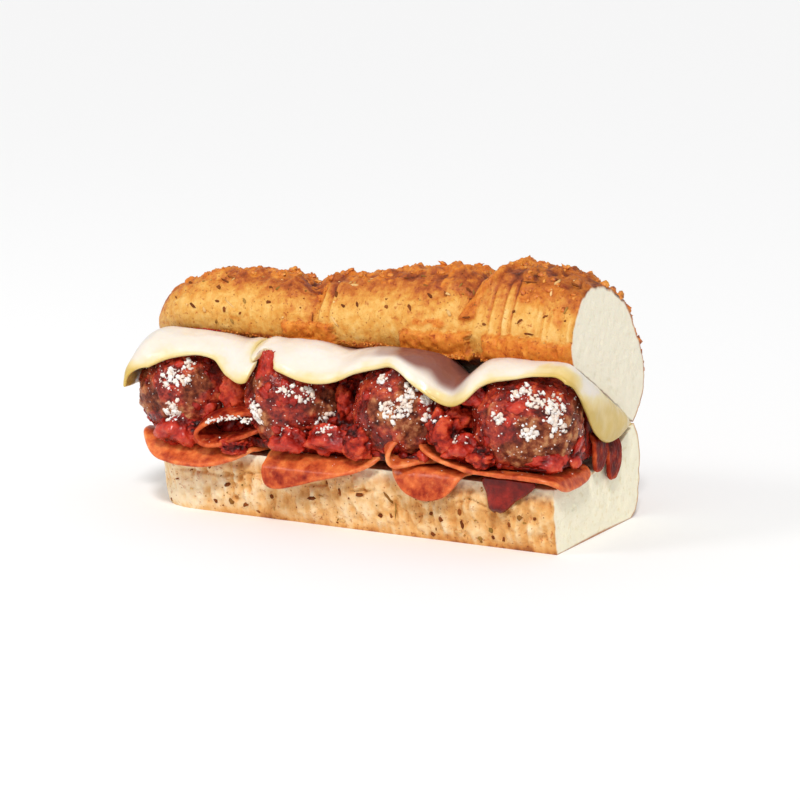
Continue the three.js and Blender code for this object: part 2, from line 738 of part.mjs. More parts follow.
// Round to square outline of a slice
function outline(power) {
  return (angle) => {
    const c = Math.cos(angle);
    const s = Math.sin(angle);
    const r = (Math.abs(c) ** power + Math.abs(s) ** power) ** (-1 / power);
    return [r * c, r * s];
  };
}

// Slice lying on the lower bread and bending down over its front edge
function drapedSlice(spec) {
  return (a, b) => {
    const x = spec.middle[0] + spec.half[0] * a;
    let y = spec.middle[1] + spec.half[1] * b + (spec.skew || 0) * (x - spec.middle[0]);
    let z = Math.max(BED_Z, bedHeight(y) + 0.95);
    const over = FOLD_Y - y;
    const limit = rad(spec.slope);
    const hangFrom = spec.hangAfter || 99;
    if (over > 0) {
      const turned = Math.min(over / spec.radius, limit);
      const rest = clamp(over - spec.radius * limit, 0, hangFrom);
      const hang = Math.max(over - spec.radius * limit - hangFrom, 0);
      y = FOLD_Y - spec.radius * Math.sin(turned) - Math.cos(limit) * rest - 0.1 * hang;
      z -= spec.radius * (1 - Math.cos(turned)) + Math.sin(limit) * rest + 0.99 * hang;
    }
    for (const [at, height, width] of spec.waves) {
      z += height * Math.exp(-(((x - at) / width) ** 2)) * ease(-12, -30, y);
    }
    return [x, y, z];
  };
}

const DROOP_OVER = 6;

// Slice bent along a path in X and Z, its round rim reaching forward
function bentSlice(spec) {
  const table = measured(path(spec.path, 90));
  const length = pathLength(table);
  return (a, b) => {
    const [x, z] = along(table, ((a + 1) / 2) * length);
    const y = spec.middleY + spec.halfY * b;
    const turn = rad(spec.yaw || 0);
    const pivot = spec.pivot || [0, 0];
    const [dx, dy] = [x - pivot[0], y - pivot[1]];
    const turnedX = pivot[0] + dx * Math.cos(turn) - dy * Math.sin(turn);
    const turnedY = pivot[1] + dx * Math.sin(turn) + dy * Math.cos(turn);
    const front = clamp((FOLD_Y - turnedY) / DROOP_OVER, 0, 2);
    return [turnedX, turnedY, z - (spec.droop || 0) * front ** 2];
  };
}

const PEPPERONI = [
  { bend: drapedSlice({ middle: [-40.4, -18.2], half: [22, 21], slope: 42, radius: 4,
    waves: [[-62, 2.5, 5], [-27, 0.4, 5]] }), power: 2.5, rings: 4, sectors: 18 },
  { bend: bentSlice({ path: [[-14.5, 29], [-23, 26.6], [-31.5, 25.1], [-36.2, 26.2], [-36.6, 29.4],
    [-31, 32.6], [-22, 33.6], [-13.5, 31.8]], middleY: -25, halfY: 12.5, droop: 1.8 }),
  power: 2, along: 16, across: 5 },
  { bend: drapedSlice({ middle: [3.6, -18], half: [19.2, 20.8], slope: 38, radius: 2.6,
    skew: 0.28, hangAfter: 5, waves: [[26, 2.6, 10]] }), power: 7, rings: 6, sectors: 20 },
  { bend: drapedSlice({ middle: [37.6, -20], half: [13.4, 20], slope: 78, radius: 3,
    waves: [[38, 0.2, 9]] }), power: 2.2, rings: 4, sectors: 16 },
  { bend: bentSlice({ path: [[45, 23.6], [41, 23.5], [36, 23.5], [30.5, 23.9], [26.6, 25.2],
    [25.2, 28], [27, 30.6], [32, 31.4], [36.5, 30.8]], middleY: -26, halfY: 9.5,
    droop: 2.4, yaw: 34, pivot: [29, -32] }),
  power: 2, along: 14, across: 4 },
  { bend: bentSlice({ path: [[33, 29], [41.5, 25.8], [52, 23.5], [62, 23.1], [72, 22.9],
    [77.6, 21.6], [79.4, 18.6]], middleY: -20.6, halfY: 14.2 }), power: 4, along: 12, across: 5 },
  { bend: bentSlice({ path: [[69, 30], [74, 32], [77.6, 30], [78.2, 25], [77.6, 19.6]],
    middleY: -2.2, halfY: 4.6 }), power: 2.6, along: 8, across: 4 },
  { bend: bentSlice({ path: [[66, 26], [72, 28], [77, 26.6], [78, 21], [77.6, 15.4]],
    middleY: 8, halfY: 5 }), power: 2.6, along: 8, across: 4 },
];

// Bent slice as rows across its path, narrowing to its two ends
function bentSheet(slice, scale, thick) {
  const grid = [];
  for (let i = 0; i <= slice.along; i += 1) {
    const a = mix(-0.985, 0.985, i / slice.along);
    const half = (1 - Math.abs(a) ** slice.power) ** (1 / slice.power);
    const row = [];
    for (let j = 0; j <= slice.across; j += 1) {
      row.push(slice.bend(a * scale, mix(-half, half, j / slice.across) * scale));
    }
    grid.push(row);
  }
  return gridSheet(grid, thick);
}

function pepperoni(index, grow) {
  const slice = PEPPERONI[index];
  const rim = outline(slice.power);
  const wider = (angle) => rim(angle).map((value) => value * (1 + grow / 16));
  const thick = PEPPERONI_THICK + 2 * grow;
  if (slice.across) return toSolid(bentSheet(slice, 1 + grow / 16, thick));
  return toSolid(discSheet(slice.bend, wider, slice.rings, slice.sectors, thick));
}

// Chunks in the sauce: middle, half sizes
const CHUNKS = [
  [[-46, -33, 26.4], [6, 4.6, 5.4]],
  [[-40, -31, 25.6], [4, 4, 3.6]],
  [[-26.5, -32, 22.6], [4.6, 4.6, 2.8]],
  [[-30, -25, 36], [5, 6, 7]],
  [[-7.4, -32.6, 26.2], [5.2, 4.5, 3.8]],
  [[5.4, -32.4, 27.6], [6, 3.6, 3.8]],
  [[15.5, -32.4, 28], [5, 4.2, 5]],
  [[7.6, -21.5, 37], [4.4, 6, 7]],
  [[43, -31, 33], [5.4, 5, 5.6]],
  [[49, -31, 29.4], [5.4, 5, 4]],
  [[55.5, -32.4, 27.6], [4.4, 3.6, 3.6]],
  [[44.5, -26, 36], [5, 6, 5]],
  [[72, -26, 27.4], [5, 5, 3.6]],
  [[75.5, -16, 27], [3, 4, 3.6]],
];

// Lumpy sauce that the meatballs sit in, filling the wedge behind and rising between them
const SAUCE_FROM = -59;
const SAUCE_TO = 77;
const SAUCE_BACK_Y = 19;
const SAUCE_FRONT_Y = -31.6;
const SAUCE_ROOM = 3.6;
const SAUCE_TIP_X = -59.6;
const SAUCE_END_X = 77.6;
const SAUCE_MID_Z = 25;
const SAUCE_LOW_Z = 22.5;
const SAUCE_LOW_END_Z = 24.5;

function sauceRoof(x, y) {
  const near = Math.min(...BALL_X.map((middle) => Math.abs(x - middle)));
  const gap = ease(9, 17, near);
  const front = mix(30, 44.5, gap * ease(-31, -26, y));
  const hump = mix(front, 60, ease(-16, -4, y));
  const wedge = HINGE_Z + Math.tan(rad(TOP_TILT)) * (HINGE_Y - y) - SAUCE_ROOM;
  const dip = 9 * Math.exp(-(((x - CHEESE_SAGS[2][0]) / 8.5) ** 2)) * (1 - ease(-6, 12, y));
  return Math.min(hump, wedge) - dip + 0.9 * noise(x / 4.5, y / 4.5, 6.1) - 0.6;
}

function sauceBed() {
  const rings = [];
  const count = 27;
  const across = 9;
  for (let i = 0; i < count; i += 1) {
    const x = mix(SAUCE_FROM, SAUCE_TO, i / (count - 1));
    const share = Math.min(endShare(x - SAUCE_TIP_X, 10, 2.2), endShare(SAUCE_END_X - x, 4, 2.2));
    const low = mix(SAUCE_LOW_Z, SAUCE_LOW_END_Z, ease(30, 37, x));
    const near = Math.min(...BALL_X.map((middle) => Math.abs(x - middle)));
    const front = mix(SAUCE_FRONT_Y, -30, ease(6, 15, near)) + 0.8 * noise(x / 5, 1.5, 2.5);
    const middle = (front + SAUCE_BACK_Y) / 2;
    const ring = [];
    for (let j = 0; j <= across; j += 1) {
      const y = mix(front, SAUCE_BACK_Y, j / across);
      const edge = ease(0, 0.16, j / across);
      const z = Math.max(mix(25.4, sauceRoof(x, y), edge), low + 1);
      ring.push([x, middle + (y - middle) * share, SAUCE_MID_Z + (z - SAUCE_MID_Z) * share]);
    }
    for (let j = 0; j <= 4; j += 1) {
      const y = mix(SAUCE_BACK_Y, front + 1.2, j / 4);
      const z = Math.max(low, bedHeight(y) + 1.1);
      ring.push([x, middle + (y - middle) * share, SAUCE_MID_Z + (z - SAUCE_MID_Z) * share]);
    }
    rings.push(ring);
  }
  const end = (ring) => [ring[0][0], -8, 25.6];
  return toSolid(loft(rings, end(rings[0]), end(rings[count - 1])));
}

// Drip of sauce that ran down the front of the lower bread
const DRIP = [[21.6, 63, 8.2], [20.2, 62.8, 8.4], [18, 62, 6.6], [15.6, 60.4, 4], [13.4, 59.6, 3],
  [12.2, 59.4, 1.8]];
const DRIP_BACK_Y = -30;

function drip() {
  const rings = DRIP.map(([z, x, half]) => {
    const ring = [];
    for (let j = 0; j < 12; j += 1) {
      const angle = (2 * Math.PI * j) / 12;
      const y = DRIP_BACK_Y + 2.3 * Math.min(0, Math.sin(angle)) * Math.min(1, half / 3);
      ring.push([x + half * Math.cos(angle), y, z - 0.5 * Math.abs(Math.cos(angle))]);
    }
    return ring;
  });
  return toSolid(loft(rings, [63, -31, 21.8], [59.4, -30.6, 11.6]));
}

// Room left round the meatballs and the slices, which have relief of their own
const BALL_GUARD = 1.45;
const SLICE_GUARD = 0.42;

// Grown copies that other solids are cut back from
function guards() {
  const balls = BALL_X.map((_, index) => ballBody(index, 9, 12, BALL_GUARD));
  const slices = PEPPERONI.map((_, index) => pepperoni(index, SLICE_GUARD));
  const sheets = [0, 1].map((index) => cheese(index, GAP + 0.05));
  return { balls, slices, sheets };
}

function sauce(guard) {
  const lumps = CHUNKS.map(([middle, sizes], n) => toSolid(chunk(middle, sizes, n * 3.7)));
  const whole = joined(sauceBed(), lumps);
  return trimmed(cutBy(whole, [...guard.balls, ...guard.slices]), SAUCE_TRIM);
}

// Tomato pieces stuck to a meatball: its number, middle, half sizes
const BALL_CHUNKS = [
  [1, [-15.4, -29.4, 46.6], [3.4, 3.4, 4.8]],
  [3, [51.5, -29.5, 44], [3.4, 3, 3]],
];

function meatball(index, guard) {
  const stuck = BALL_CHUNKS.filter(([owner]) => owner === index);
  const pieces = stuck.map(([owner, middle, sizes]) => toSolid(chunk(middle, sizes, owner * 5)));
  const body = joined(ballBody(index, 11, 18, 0), [...crumbLumps(index), ...pieces]);
  const cutters = [...guard.slices, ...(stuck.length ? guard.sheets : [])];
  return trimmed(cutBy(body, cutters), TRIM);
}

const LOOKS = {
  crust: { color: 0xc98534, roughness: 0.6 },
  low_crust: { color: 0xd9b27a, roughness: 0.8 },
  meat: { color: 0x6b3a24, roughness: 0.5 },
  cheese: { color: 0xf3e9c8, roughness: 0.35 },
  pepperoni: { color: 0xc24a25, roughness: 0.35 },
  sauce: { color: 0x9c1f14, roughness: 0.2 },
};

function look(slot) {
  const { color, roughness } = LOOKS[slot];
  return new THREE.MeshStandardMaterial({ color, roughness, metalness: 0, flatShading: true });
}

function addNode(group, name, solid, slot) {
  const { p, t } = fromSolid(solid);
  const geometry = new THREE.BufferGeometry();
  geometry.setAttribute("position", new THREE.BufferAttribute(new Float32Array(p), 3));
  geometry.setIndex(t);
  geometry.translate(SHIFT_X, SHIFT_Y, 0);
  geometry.computeVertexNormals();
  const mesh = new THREE.Mesh(geometry, look(slot));
  mesh.name = name;
  group.add(mesh);
}

function submarineSandwich() {
  const group = new THREE.Group();
  group.name = "submarine_sandwich";
  const guard = guards();
  addNode(group, "bread_bottom", breadBottom(), "low_crust");
  addNode(group, "bread_top", breadTop(), "crust");
  BALL_X.forEach((_, index) => {
    addNode(group, `meatball_${index + 1}`, meatball(index, guard), "meat");
  });
  [0, 1].forEach((index) => {
    addNode(group, `cheese_${index + 1}`, cheese(index, 0), "cheese");
  });
  PEPPERONI.forEach((_, index) => {
    addNode(group, `pepperoni_${index + 1}`, pepperoni(index, 0), "pepperoni");
  });
  addNode(group, "marinara", sauce(guard), "sauce");
  addNode(group, "marinara_drip", drip(), "sauce");
  return group;
}

export default submarineSandwich();
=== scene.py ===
import math

import bpy
import numpy as np
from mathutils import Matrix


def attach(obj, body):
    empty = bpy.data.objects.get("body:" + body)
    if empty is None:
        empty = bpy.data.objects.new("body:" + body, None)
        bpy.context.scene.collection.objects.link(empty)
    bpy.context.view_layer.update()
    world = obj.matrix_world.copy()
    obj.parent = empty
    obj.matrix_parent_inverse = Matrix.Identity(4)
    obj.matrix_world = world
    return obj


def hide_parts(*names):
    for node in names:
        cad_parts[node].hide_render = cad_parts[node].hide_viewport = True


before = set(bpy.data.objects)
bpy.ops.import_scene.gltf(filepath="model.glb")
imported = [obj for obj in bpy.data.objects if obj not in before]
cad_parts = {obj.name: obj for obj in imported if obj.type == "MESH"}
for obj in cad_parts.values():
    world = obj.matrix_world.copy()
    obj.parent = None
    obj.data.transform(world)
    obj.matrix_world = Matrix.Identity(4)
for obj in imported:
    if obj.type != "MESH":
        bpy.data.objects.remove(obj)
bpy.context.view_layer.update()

MM = 0.001
SHIFT = np.array([-4.53, 1.79, 0.0])

# Camera, fitted to the photograph
CAMERA_AZIMUTH = 28.471
CAMERA_ELEVATION = 11.004
CAMERA_DISTANCE = 0.850
CAMERA_TARGET = np.array([0.00713, 0.00179, 0.03426])
CAMERA_LENS = 128.25
CAMERA_SENSOR = 36.0

# Loaf
CUT_X = 76.0
HINGE_Y = 26.0
HINGE_Z = 29.2
TOP_TILT = math.radians(29.06)
TOP_MID_U = 26.0
TOP_HALF_U = 28.0
TOP_WIDE_V = 10.0
TOP_RISE = 19.7
TOP_FRONT_U = 47.0
TOP_TIP_X = -72.0
TOP_TIP_LENGTH = 27.0
# Middles of the section at the rounded end and at the cut, along the axes u and v
TOP_MIDDLE = (28, 4)
TOP_CUT_MIDDLE = (26, 13)
# Stations, points round the crust, points over the flat crumb, and rings of the cut face
TOP_GRID = (372, 206, 26, 58)
CROWN = [
    (-72, 0.68), (-60, 0.73), (-48, 0.79), (-34, 0.85), (-12, 0.86), (4, 0.93),
    (24, 1.03), (40, 1.07), (58, 1.13), (68, 1.07), (76, 0.96),
]
# Furrows across the crust: place along the loaf on the side and on the crown, depth and width
FURROWS = [(-9.5, -17.5, 4.4, 4.2), (41, 42, 2.8, 3.4)]
# Ribbons of baked cheese along the lower front: both ends and height
RIBBONS = [(-18.5, -1, 0.9), (22, 43.5, 1.6), (48, 77, 1.9)]
# Strap of baked cheese by the second furrow: length round the section and place along the loaf
STRAP = [(10, 41.6), (13, 42.2), (17, 43.2), (20.5, 44.8), (25, 46.4), (31, 47.7), (40, 50), (52, 53)]
# Dough stretched smooth in the oven: both ends along the loaf and both round the section
STRETCHED = [(-7.5, -1, 7, 24), (47.5, 57, 5, 23), (64.5, 75.5, 5, 15)]
# Grated cheese baked onto the crust: middle and half sizes along and round the section
PATCHES = [(67, 32, 13, 17), (32, 38, 12, 13), (8, 38, 15, 14), (-30, 38, 18, 13), (-8, 43, 13, 13),
           (31, 9.6, 4.5, 1.4), (-8.5, 21.5, 2.2, 4), (-50, 36, 10, 11), (50, 40, 10, 12)]

LOW_FRONT = [(-25.7, 0), (-26.9, 3.5), (-28.2, 9), (-29, 14.6), (-28.1, 19.3)]
LOW_BACK = [(26.6, 28.7), (29.9, 24), (31.6, 16), (31.2, 7.5), (29.2, 2.4), (25.7, 0)]
LOW_SAG = 4.2
UNDER_HALF_Y = 25.7
LOW_TIP_X = -63.5
LOW_TIP_LENGTH = 20.0
LOW_FOLD_Z = 13.2
# Middles of the section at the rounded end and at the cut, in Y and Z
LOW_MIDDLE = (1, 10)
LOW_CUT_MIDDLE = (1, 12)
# Stations, points up the front, over the bed, down the back and underneath, rings of the cut face
LOW_GRID = (364, 76, 60, 70, 30, 56)

# Meatballs
BALL_X = [-48.6, -11.6, 25.4, 64.0]
BALL_Y = -20.0
BALL_Z = 36.0
BALL_R = np.array([15.8, 15.8, 15.4])
BALL_ROOM = 3.5
BALL_FLOOR = [22.3, 22.3, 22.6, 24.2]
# Bands from pole to pole and points round each
BALL_GRID = (170, 260)

# Cheese
CHEESE_THICK = 2.1
CHEESE_AXIS_Y = -20.0
CHEESE_AXIS_Z = 35.5
CHEESE_R_FRONT = 17.6
CHEESE_ROOM = 1.75
CHEESE_BACK_Y = 22.8
CHEESE_START_ANGLE = math.radians(113)
CHEESE_BACK_SHARE = 0.38
CHEESE_EDGE = [
    (-66, 38), (-57.4, 42.6), (-46.6, 47.4), (-34.3, 48.3), (-27.4, 44), (-20.2, 42.6),
    (-18.1, 49), (-10.3, 46.2), (1.5, 44.4), (14.8, 48), (23, 50.2), (27.9, 49.2), (34.4, 46.3),
    (45.6, 42.4), (50.4, 43.4), (55.1, 47.8), (66, 50.6), (74, 51.4),
]
CHEESE_SAGS = [(-29, 1.4, 6), (6, 2, 7), (43.5, 6, 6.5)]
FLAP_EDGE = [
    (-40, 51.5), (-30, 50.5), (-22.5, 46.5), (-15.7, 39), (-8.7, 31.8), (-1.7, 28.4), (5.3, 28.4),
    (12.3, 30.1), (20, 31.2), (24, 32),
]
END_FLAP_EDGE = [(-40, 37.6), (-15, 36), (10, 33), (24, 34)]
CHEESE_FROM = -54.6
CHEESE_TO = 75.0
# Drape past each loaf end: its place, its side, bend radii behind and in front, and its lower edge
FIRST_DRAPE = {"place": CHEESE_FROM, "sign": -1, "radii": (11.3, 8.6), "edge": END_FLAP_EDGE}
SECOND_DRAPE = {"place": CHEESE_TO, "sign": 1, "radii": (5.0, 5.0), "edge": FLAP_EDGE}

# Pepperoni
PEPPERONI_THICK = 1.3
BED_Z = 21.4
FOLD_Y = -29.6
DROOP_OVER = 6.0
SLICE_LIFT = 0.95
# Rings from the middle of a slice to its rim and points round each
SLICE_GRID = (50, 170)


# Smooth step from nought at the first value to one at the second
def ease(low, high, value):
    t = np.clip((value - low) / (high - low), 0, 1)
    return t * t * (3 - 2 * t)


# One between low and high, falling to nought over the soft width outside them
def band(low, high, soft, value):
    return ease(low - soft, low + soft, value) * (1 - ease(high - soft, high + soft, value))


# Straight line from a, where t is nought, to b, where it is one
def mix(a, b, t):
    return a + (b - a) * t


def hashed(i, j, k):
    """Fraction of a large sine of three whole numbers: the same value from 0 to 1 each time."""
    value = np.sin(i * 127.1 + j * 311.7 + k * 74.7) * 43758.5453
    return value - np.floor(value)


def noise(x, y, z):
    """Values at lattice corners, mixed by eased fractions along each axis, from -1 to 1. A number
    in place of a coordinate, or added to one, picks another pattern."""
    x, y, z = np.broadcast_arrays(*(np.asarray(v, float) for v in (x, y, z)))
    i, j, k = np.floor(x), np.floor(y), np.floor(z)
    a, b, c = (f * f * (3 - 2 * f) for f in (x - i, y - j, z - k))

    def row(dj, dk):
        return mix(hashed(i, j + dj, k + dk), hashed(i + 1, j + dj, k + dk), a)

    return 2 * mix(mix(row(0, 0), row(1, 0), b), mix(row(0, 1), row(1, 1), b), c) - 1


def rough(x, y, z, layers=3, share=0.5):
    """Sum of noise layers, each twice as fine and a share as strong as the one before."""
    total = 0.0
    for n in range(layers):
        total = total + share**n * noise(x * 2**n + 5.3 * n, y * 2**n + 2.1 * n, z * 2**n + 7.7 * n)
    return total


def cells(x, y, z):
    """Distance to the nearest of one scattered point in each unit cell, and that point's own value."""
    x, y, z = np.broadcast_arrays(*(np.asarray(v, float) for v in (x, y, z)))
    i, j, k = np.floor(x), np.floor(y), np.floor(z)
    best = np.full(x.shape, 9.0)
    value = np.zeros(x.shape)
    for step in np.ndindex(3, 3, 3):
        di, dj, dk = i + step[0] - 1, j + step[1] - 1, k + step[2] - 1
        px = di + hashed(di, dj, dk)
        py = dj + hashed(dj, dk + 17, di)
        pz = dk + hashed(dk, di + 31, dj)
        distance = np.sqrt((px - x) ** 2 + (py - y) ** 2 + (pz - z) ** 2)
        nearer = distance < best
        best = np.where(nearer, distance, best)
        value = np.where(nearer, hashed(di, dj, dk + 7), value)
    return best, value


def curve(knots, x):
    """Cubic through [x, value] knots whose slope at a knot is that of its two neighbours."""
    xs, ys = np.asarray(knots, float).T
    before, after = np.maximum(np.arange(len(xs)) - 1, 0), np.minimum(np.arange(len(xs)) + 1, len(xs) - 1)
    slopes = (ys[after] - ys[before]) / (xs[after] - xs[before])
    i = np.clip(np.searchsorted(xs, x, side="right") - 1, 0, len(xs) - 2)
    h = xs[i + 1] - xs[i]
    t = np.clip((x - xs[i]) / h, 0, 1)
    ends = ys[i] * (1 + 2 * t) * (1 - t) ** 2 + ys[i + 1] * t * t * (3 - 2 * t)
    return ends + h * slopes[i] * t * (1 - t) ** 2 + h * slopes[i + 1] * t * t * (t - 1)


def smooth_path(points, steps):
    """Dense points of the cubic through a few points, with the length from the start in front."""
    points = np.asarray(points, float)
    at = np.linspace(0, len(points) - 1, steps + 1)
    dense = np.stack([curve(list(enumerate(axis)), at) for axis in points.T], -1)
    return measured(dense)


def measured(dense):
    """Table of a dense path: length from the start, then the point."""
    steps = np.linalg.norm(np.diff(dense, axis=0), axis=1)
    return np.column_stack([np.concatenate([[0], np.cumsum(steps)]), dense])


def along(table, s):
    """Point of a measured path at length s."""
    return [np.interp(s, table[:, 0], axis) for axis in table[:, 1:].T]


def end_share(distance, length, power):
    """Share of full size near a rounded end: the height of a superellipse that starts at nought."""
    t = np.clip(1 - distance / length, 0, 1)
    return (1 - t**power) ** (1 / power)


def unit(vectors):
    """Vectors divided by their lengths."""
    return vectors / np.maximum(np.linalg.norm(vectors, axis=-1, keepdims=True), 1e-9)


def grid_normals(points):
    """Cross product of the steps along rows and along columns."""
    return unit(np.cross(np.gradient(points, axis=0), np.gradient(points, axis=1)))


# Meshes
def volume_of(points, faces):
    """Six times the volume inside the faces: the sum of triple products of their corners. It is
    below nought where the faces point inwards."""
    a, b, c = (points[faces[:, n]] for n in (0, 1, 2))
    total = np.einsum("ij,ij->i", a, np.cross(b, c)).sum()
    if faces.shape[1] == 4:
        d = points[faces[:, 3]]
        total += np.einsum("ij,ij->i", a, np.cross(c, d)).sum()
    return total


def new_piece(name, points, face_sets, material, nodes=(), masks=None, smooth=True):
    """Mesh from whole arrays with its faces out, riding on the one body of the part."""
    total = sum(volume_of(points, faces) for faces in face_sets)
    face_sets = [faces if total > 0 else faces[:, ::-1] for faces in face_sets]
    mesh = bpy.data.meshes.new(name)
    mesh.from_pydata((points + SHIFT) * MM, [], [f for faces in face_sets for f in faces.tolist()])
    mesh.polygons.foreach_set("use_smooth", np.full(len(mesh.polygons), smooth))
    for mask, values in (masks or {}).items():
        attribute = mesh.attributes.new(mask, "FLOAT", "POINT")
        attribute.data.foreach_set("value", np.asarray(values, np.float32).ravel())
    mesh.materials.append(material)
    mesh.update()
    piece = bpy.data.objects.new(name, mesh)
    bpy.context.scene.collection.objects.link(piece)
    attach(piece, "root")
    if nodes:
        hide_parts(*nodes)
    return piece


def loft_faces(rows, columns, start=0):
    """Quads between closed rings, then fans onto the two poles that follow the rings."""
    i, j = np.meshgrid(np.arange(rows - 1), np.arange(columns), indexing="ij")
    k = (j + 1) % columns
    quads = np.stack([i * columns + j, i * columns + k, (i + 1) * columns + k, (i + 1) * columns + j], -1)
    j = np.arange(columns)
    k = (j + 1) % columns
    pole, base = rows * columns, (rows - 1) * columns
    first = np.stack([np.full(columns, pole), k, j], -1)
    last = np.stack([np.full(columns, pole + 1), base + j, base + k], -1)
    return quads.reshape(-1, 4) + start, np.concatenate([first, last]) + start


def lofted(name, rings, poles, material, nodes=(), masks=None):
    """Closed body through rings, with a pole point at each end."""
    rows, columns, _ = rings.shape
    points = np.concatenate([rings.reshape(-1, 3), np.asarray(poles, float)])
    ended = {
        key: np.concatenate([np.ravel(v), [np.mean(v[0]), np.mean(v[-1])]])
        for key, v in (masks or {}).items()
    }
    return new_piece(name, points, loft_faces(rows, columns), material, nodes, ended)


def sheet_faces(rows, columns):
    """Quads of two grids that share their border, as an upper and an under face."""
    index = np.arange(rows * columns).reshape(rows, columns)
    under = index + rows * columns
    for edge in (np.s_[0, :], np.s_[-1, :], np.s_[:, 0], np.s_[:, -1]):
        under[edge] = index[edge]
    made = []
    for grid, turn in ((index, 1), (under, -1)):
        quad = np.stack([grid[:-1, :-1], grid[1:, :-1], grid[1:, 1:], grid[:-1, 1:]], -1)
        made.append(quad.reshape(-1, 4)[:, ::turn])
    return np.concatenate(made)


def sheet(name, middle, half, material, nodes=(), masks=None):
    """Closed sheet that is the half thickness to each side of its middle surface, nought at the rim."""
    rows, columns, _ = middle.shape
    out = grid_normals(middle) * half[..., None]
    points = np.concatenate([(middle + out).reshape(-1, 3), (middle - out).reshape(-1, 3)])
    faces = sheet_faces(rows, columns)
    used, faces = np.unique(faces, return_inverse=True)
    both = {key: np.concatenate([np.ravel(v), np.ravel(v)])[used] for key, v in (masks or {}).items()}
    return new_piece(name, points[used], [faces.reshape(-1, 4)], material, nodes, both)


# Rounded edge of a sheet: half thickness at a distance from its rim
def edge_round(distance, half):
    t = np.clip(1 - distance / half, 0, 1)
    return half * np.sqrt(1 - t * t)


def spaced(count, tight=0.0):
    """Steps from nought to one, packed closer towards both ends by the tight share."""
    t = np.linspace(0, 1, count)
    return mix(t, 0.5 - 0.5 * np.cos(np.pi * t), tight)


def sphere_grid(bands, around):
    """Polar angles without the poles and azimuths of a ball, as a column and a row."""
    theta = np.linspace(0, math.pi, bands + 1)[1:-1, None]
    return theta, np.linspace(0, 2 * math.pi, around, endpoint=False)[None, :]


def directions(theta, phi):
    """Unit vectors at polar angle theta and azimuth phi."""
    theta, phi = np.broadcast_arrays(theta, phi)
    return np.stack([np.sin(theta) * np.cos(phi), np.sin(theta) * np.sin(phi), np.cos(theta)], -1)


def many(name, middles, frames, sizes, slot, material, bands=4, around=6, crag=0.3, tint=None):
    """One mesh of many small lumps: each is a small ball of few faces, stretched along its three
    axes by its sizes and pushed in and out by values of its own."""
    theta, phi = sphere_grid(bands, around)
    ball = directions(theta, phi).reshape(-1, 3)
    ball = np.concatenate([ball, [[0, 0, 1], [0, 0, -1]]])
    count, corners = len(middles), len(ball)
    push = 1 + crag * (2 * hashed(np.arange(count)[:, None], np.arange(corners)[None], 3.0) - 1)
    local = ball[None] * push[..., None] * sizes[:, None, :]
    points = middles[:, None] + np.einsum("nkc,ncx->nkx", local, frames)
    quads, fans = loft_faces(bands - 1, around)
    start = (np.arange(count) * corners)[:, None, None]
    faces = [(quads[None] + start).reshape(-1, 4), (fans[None] + start).reshape(-1, 3)]
    tint = hashed(np.arange(count), 5.0, 9.0) if tint is None else tint
    masks = {"tint": np.repeat(tint, corners)}
    return new_piece(name, points.reshape(-1, 3), faces, material, (), masks)


def frames_on(out, turn):
    """Axes of lumps that lie on a surface: two in its plane, turned by an angle, and its normal."""
    helper = np.where(np.abs(out[:, 2:3]) < 0.9, [[0.0, 0.0, 1.0]], [[1.0, 0.0, 0.0]])
    side = unit(np.cross(out, helper))
    up = np.cross(side, out)
    a = side * np.cos(turn)[:, None] + up * np.sin(turn)[:, None]
    return np.stack([a, np.cross(out, a), out], 1)


# Colours and material nodes
def hex_colour(code):
    """sRGB hex turned to the linear values that shaders take."""
    values = [int(code[n:n + 2], 16) / 255 for n in (0, 2, 4)]
    return [v / 12.92 if v <= 0.04045 else ((v + 0.055) / 1.055) ** 2.4 for v in values] + [1.0]


def add_node(tree, kind, links=None, out=0, stops=(), **settings):
    """Adds a node with its settings and colour stops; links gives an input an output or a value.
    Returns one of the node's outputs."""
    node = tree.nodes.new("ShaderNode" + kind)
    for key, value in settings.items():
        setattr(node, key, value)
    for socket, source in (links or {}).items():
        if isinstance(source, bpy.types.NodeSocket):
            tree.links.new(source, node.inputs[socket])
        else:
            node.inputs[socket].default_value = source
    for place, _ in stops[2:]:
        node.color_ramp.elements.new(place)
    for n, (place, code) in enumerate(stops):
        node.color_ramp.elements[n].position = place
        node.color_ramp.elements[n].color = hex_colour(code)
    return node.outputs[out]


def new_material(name, shader):
    """Material with a principled shader; its settings are typical for what it is."""
    material = bpy.data.materials.new(name)
    material.use_nodes = True
    tree = material.node_tree
    principled = tree.nodes["Principled BSDF"]
    for socket, value in shader.items():
        principled.inputs[socket].default_value = value
    place = add_node(tree, "TexCoord", out="Object")
    return material, tree, principled, place


# Texture scale whose features have a size in millimetres on coordinates in metres
def per_mm(size):
    return 1 / (size * MM)


# Colours by how browned they are: upper crust, lower crust, baked cheese; then those of the crumb
CRUST_STOPS = [(0.0, "ecc27a"), (0.2, "e4b05c"), (0.36, "da9941"), (0.54, "c8752a"), (0.7, "a8501b"),
               (0.85, "7c3511"), (1.0, "4d1f0b")]
LOW_STOPS = [(0.0, "f6e0ba"), (0.22, "efca94"), (0.4, "e4ae69"), (0.58, "d2914b"), (0.75, "ae6831"),
             (1.0, "784621")]
BAKED_STOPS = [(0.3, "e69a3e"), (0.45, "dc832a"), (0.57, "cf6f1f"), (0.68, "ad5317"), (0.8, "6e2f10")]
CRUMB_STOPS = [(0.25, "ece2c9"), (0.42, "f4ecd6")]
LOW_CRUMB_STOPS = [(0.25, "efe2bd"), (0.45, "fbf3d9")]


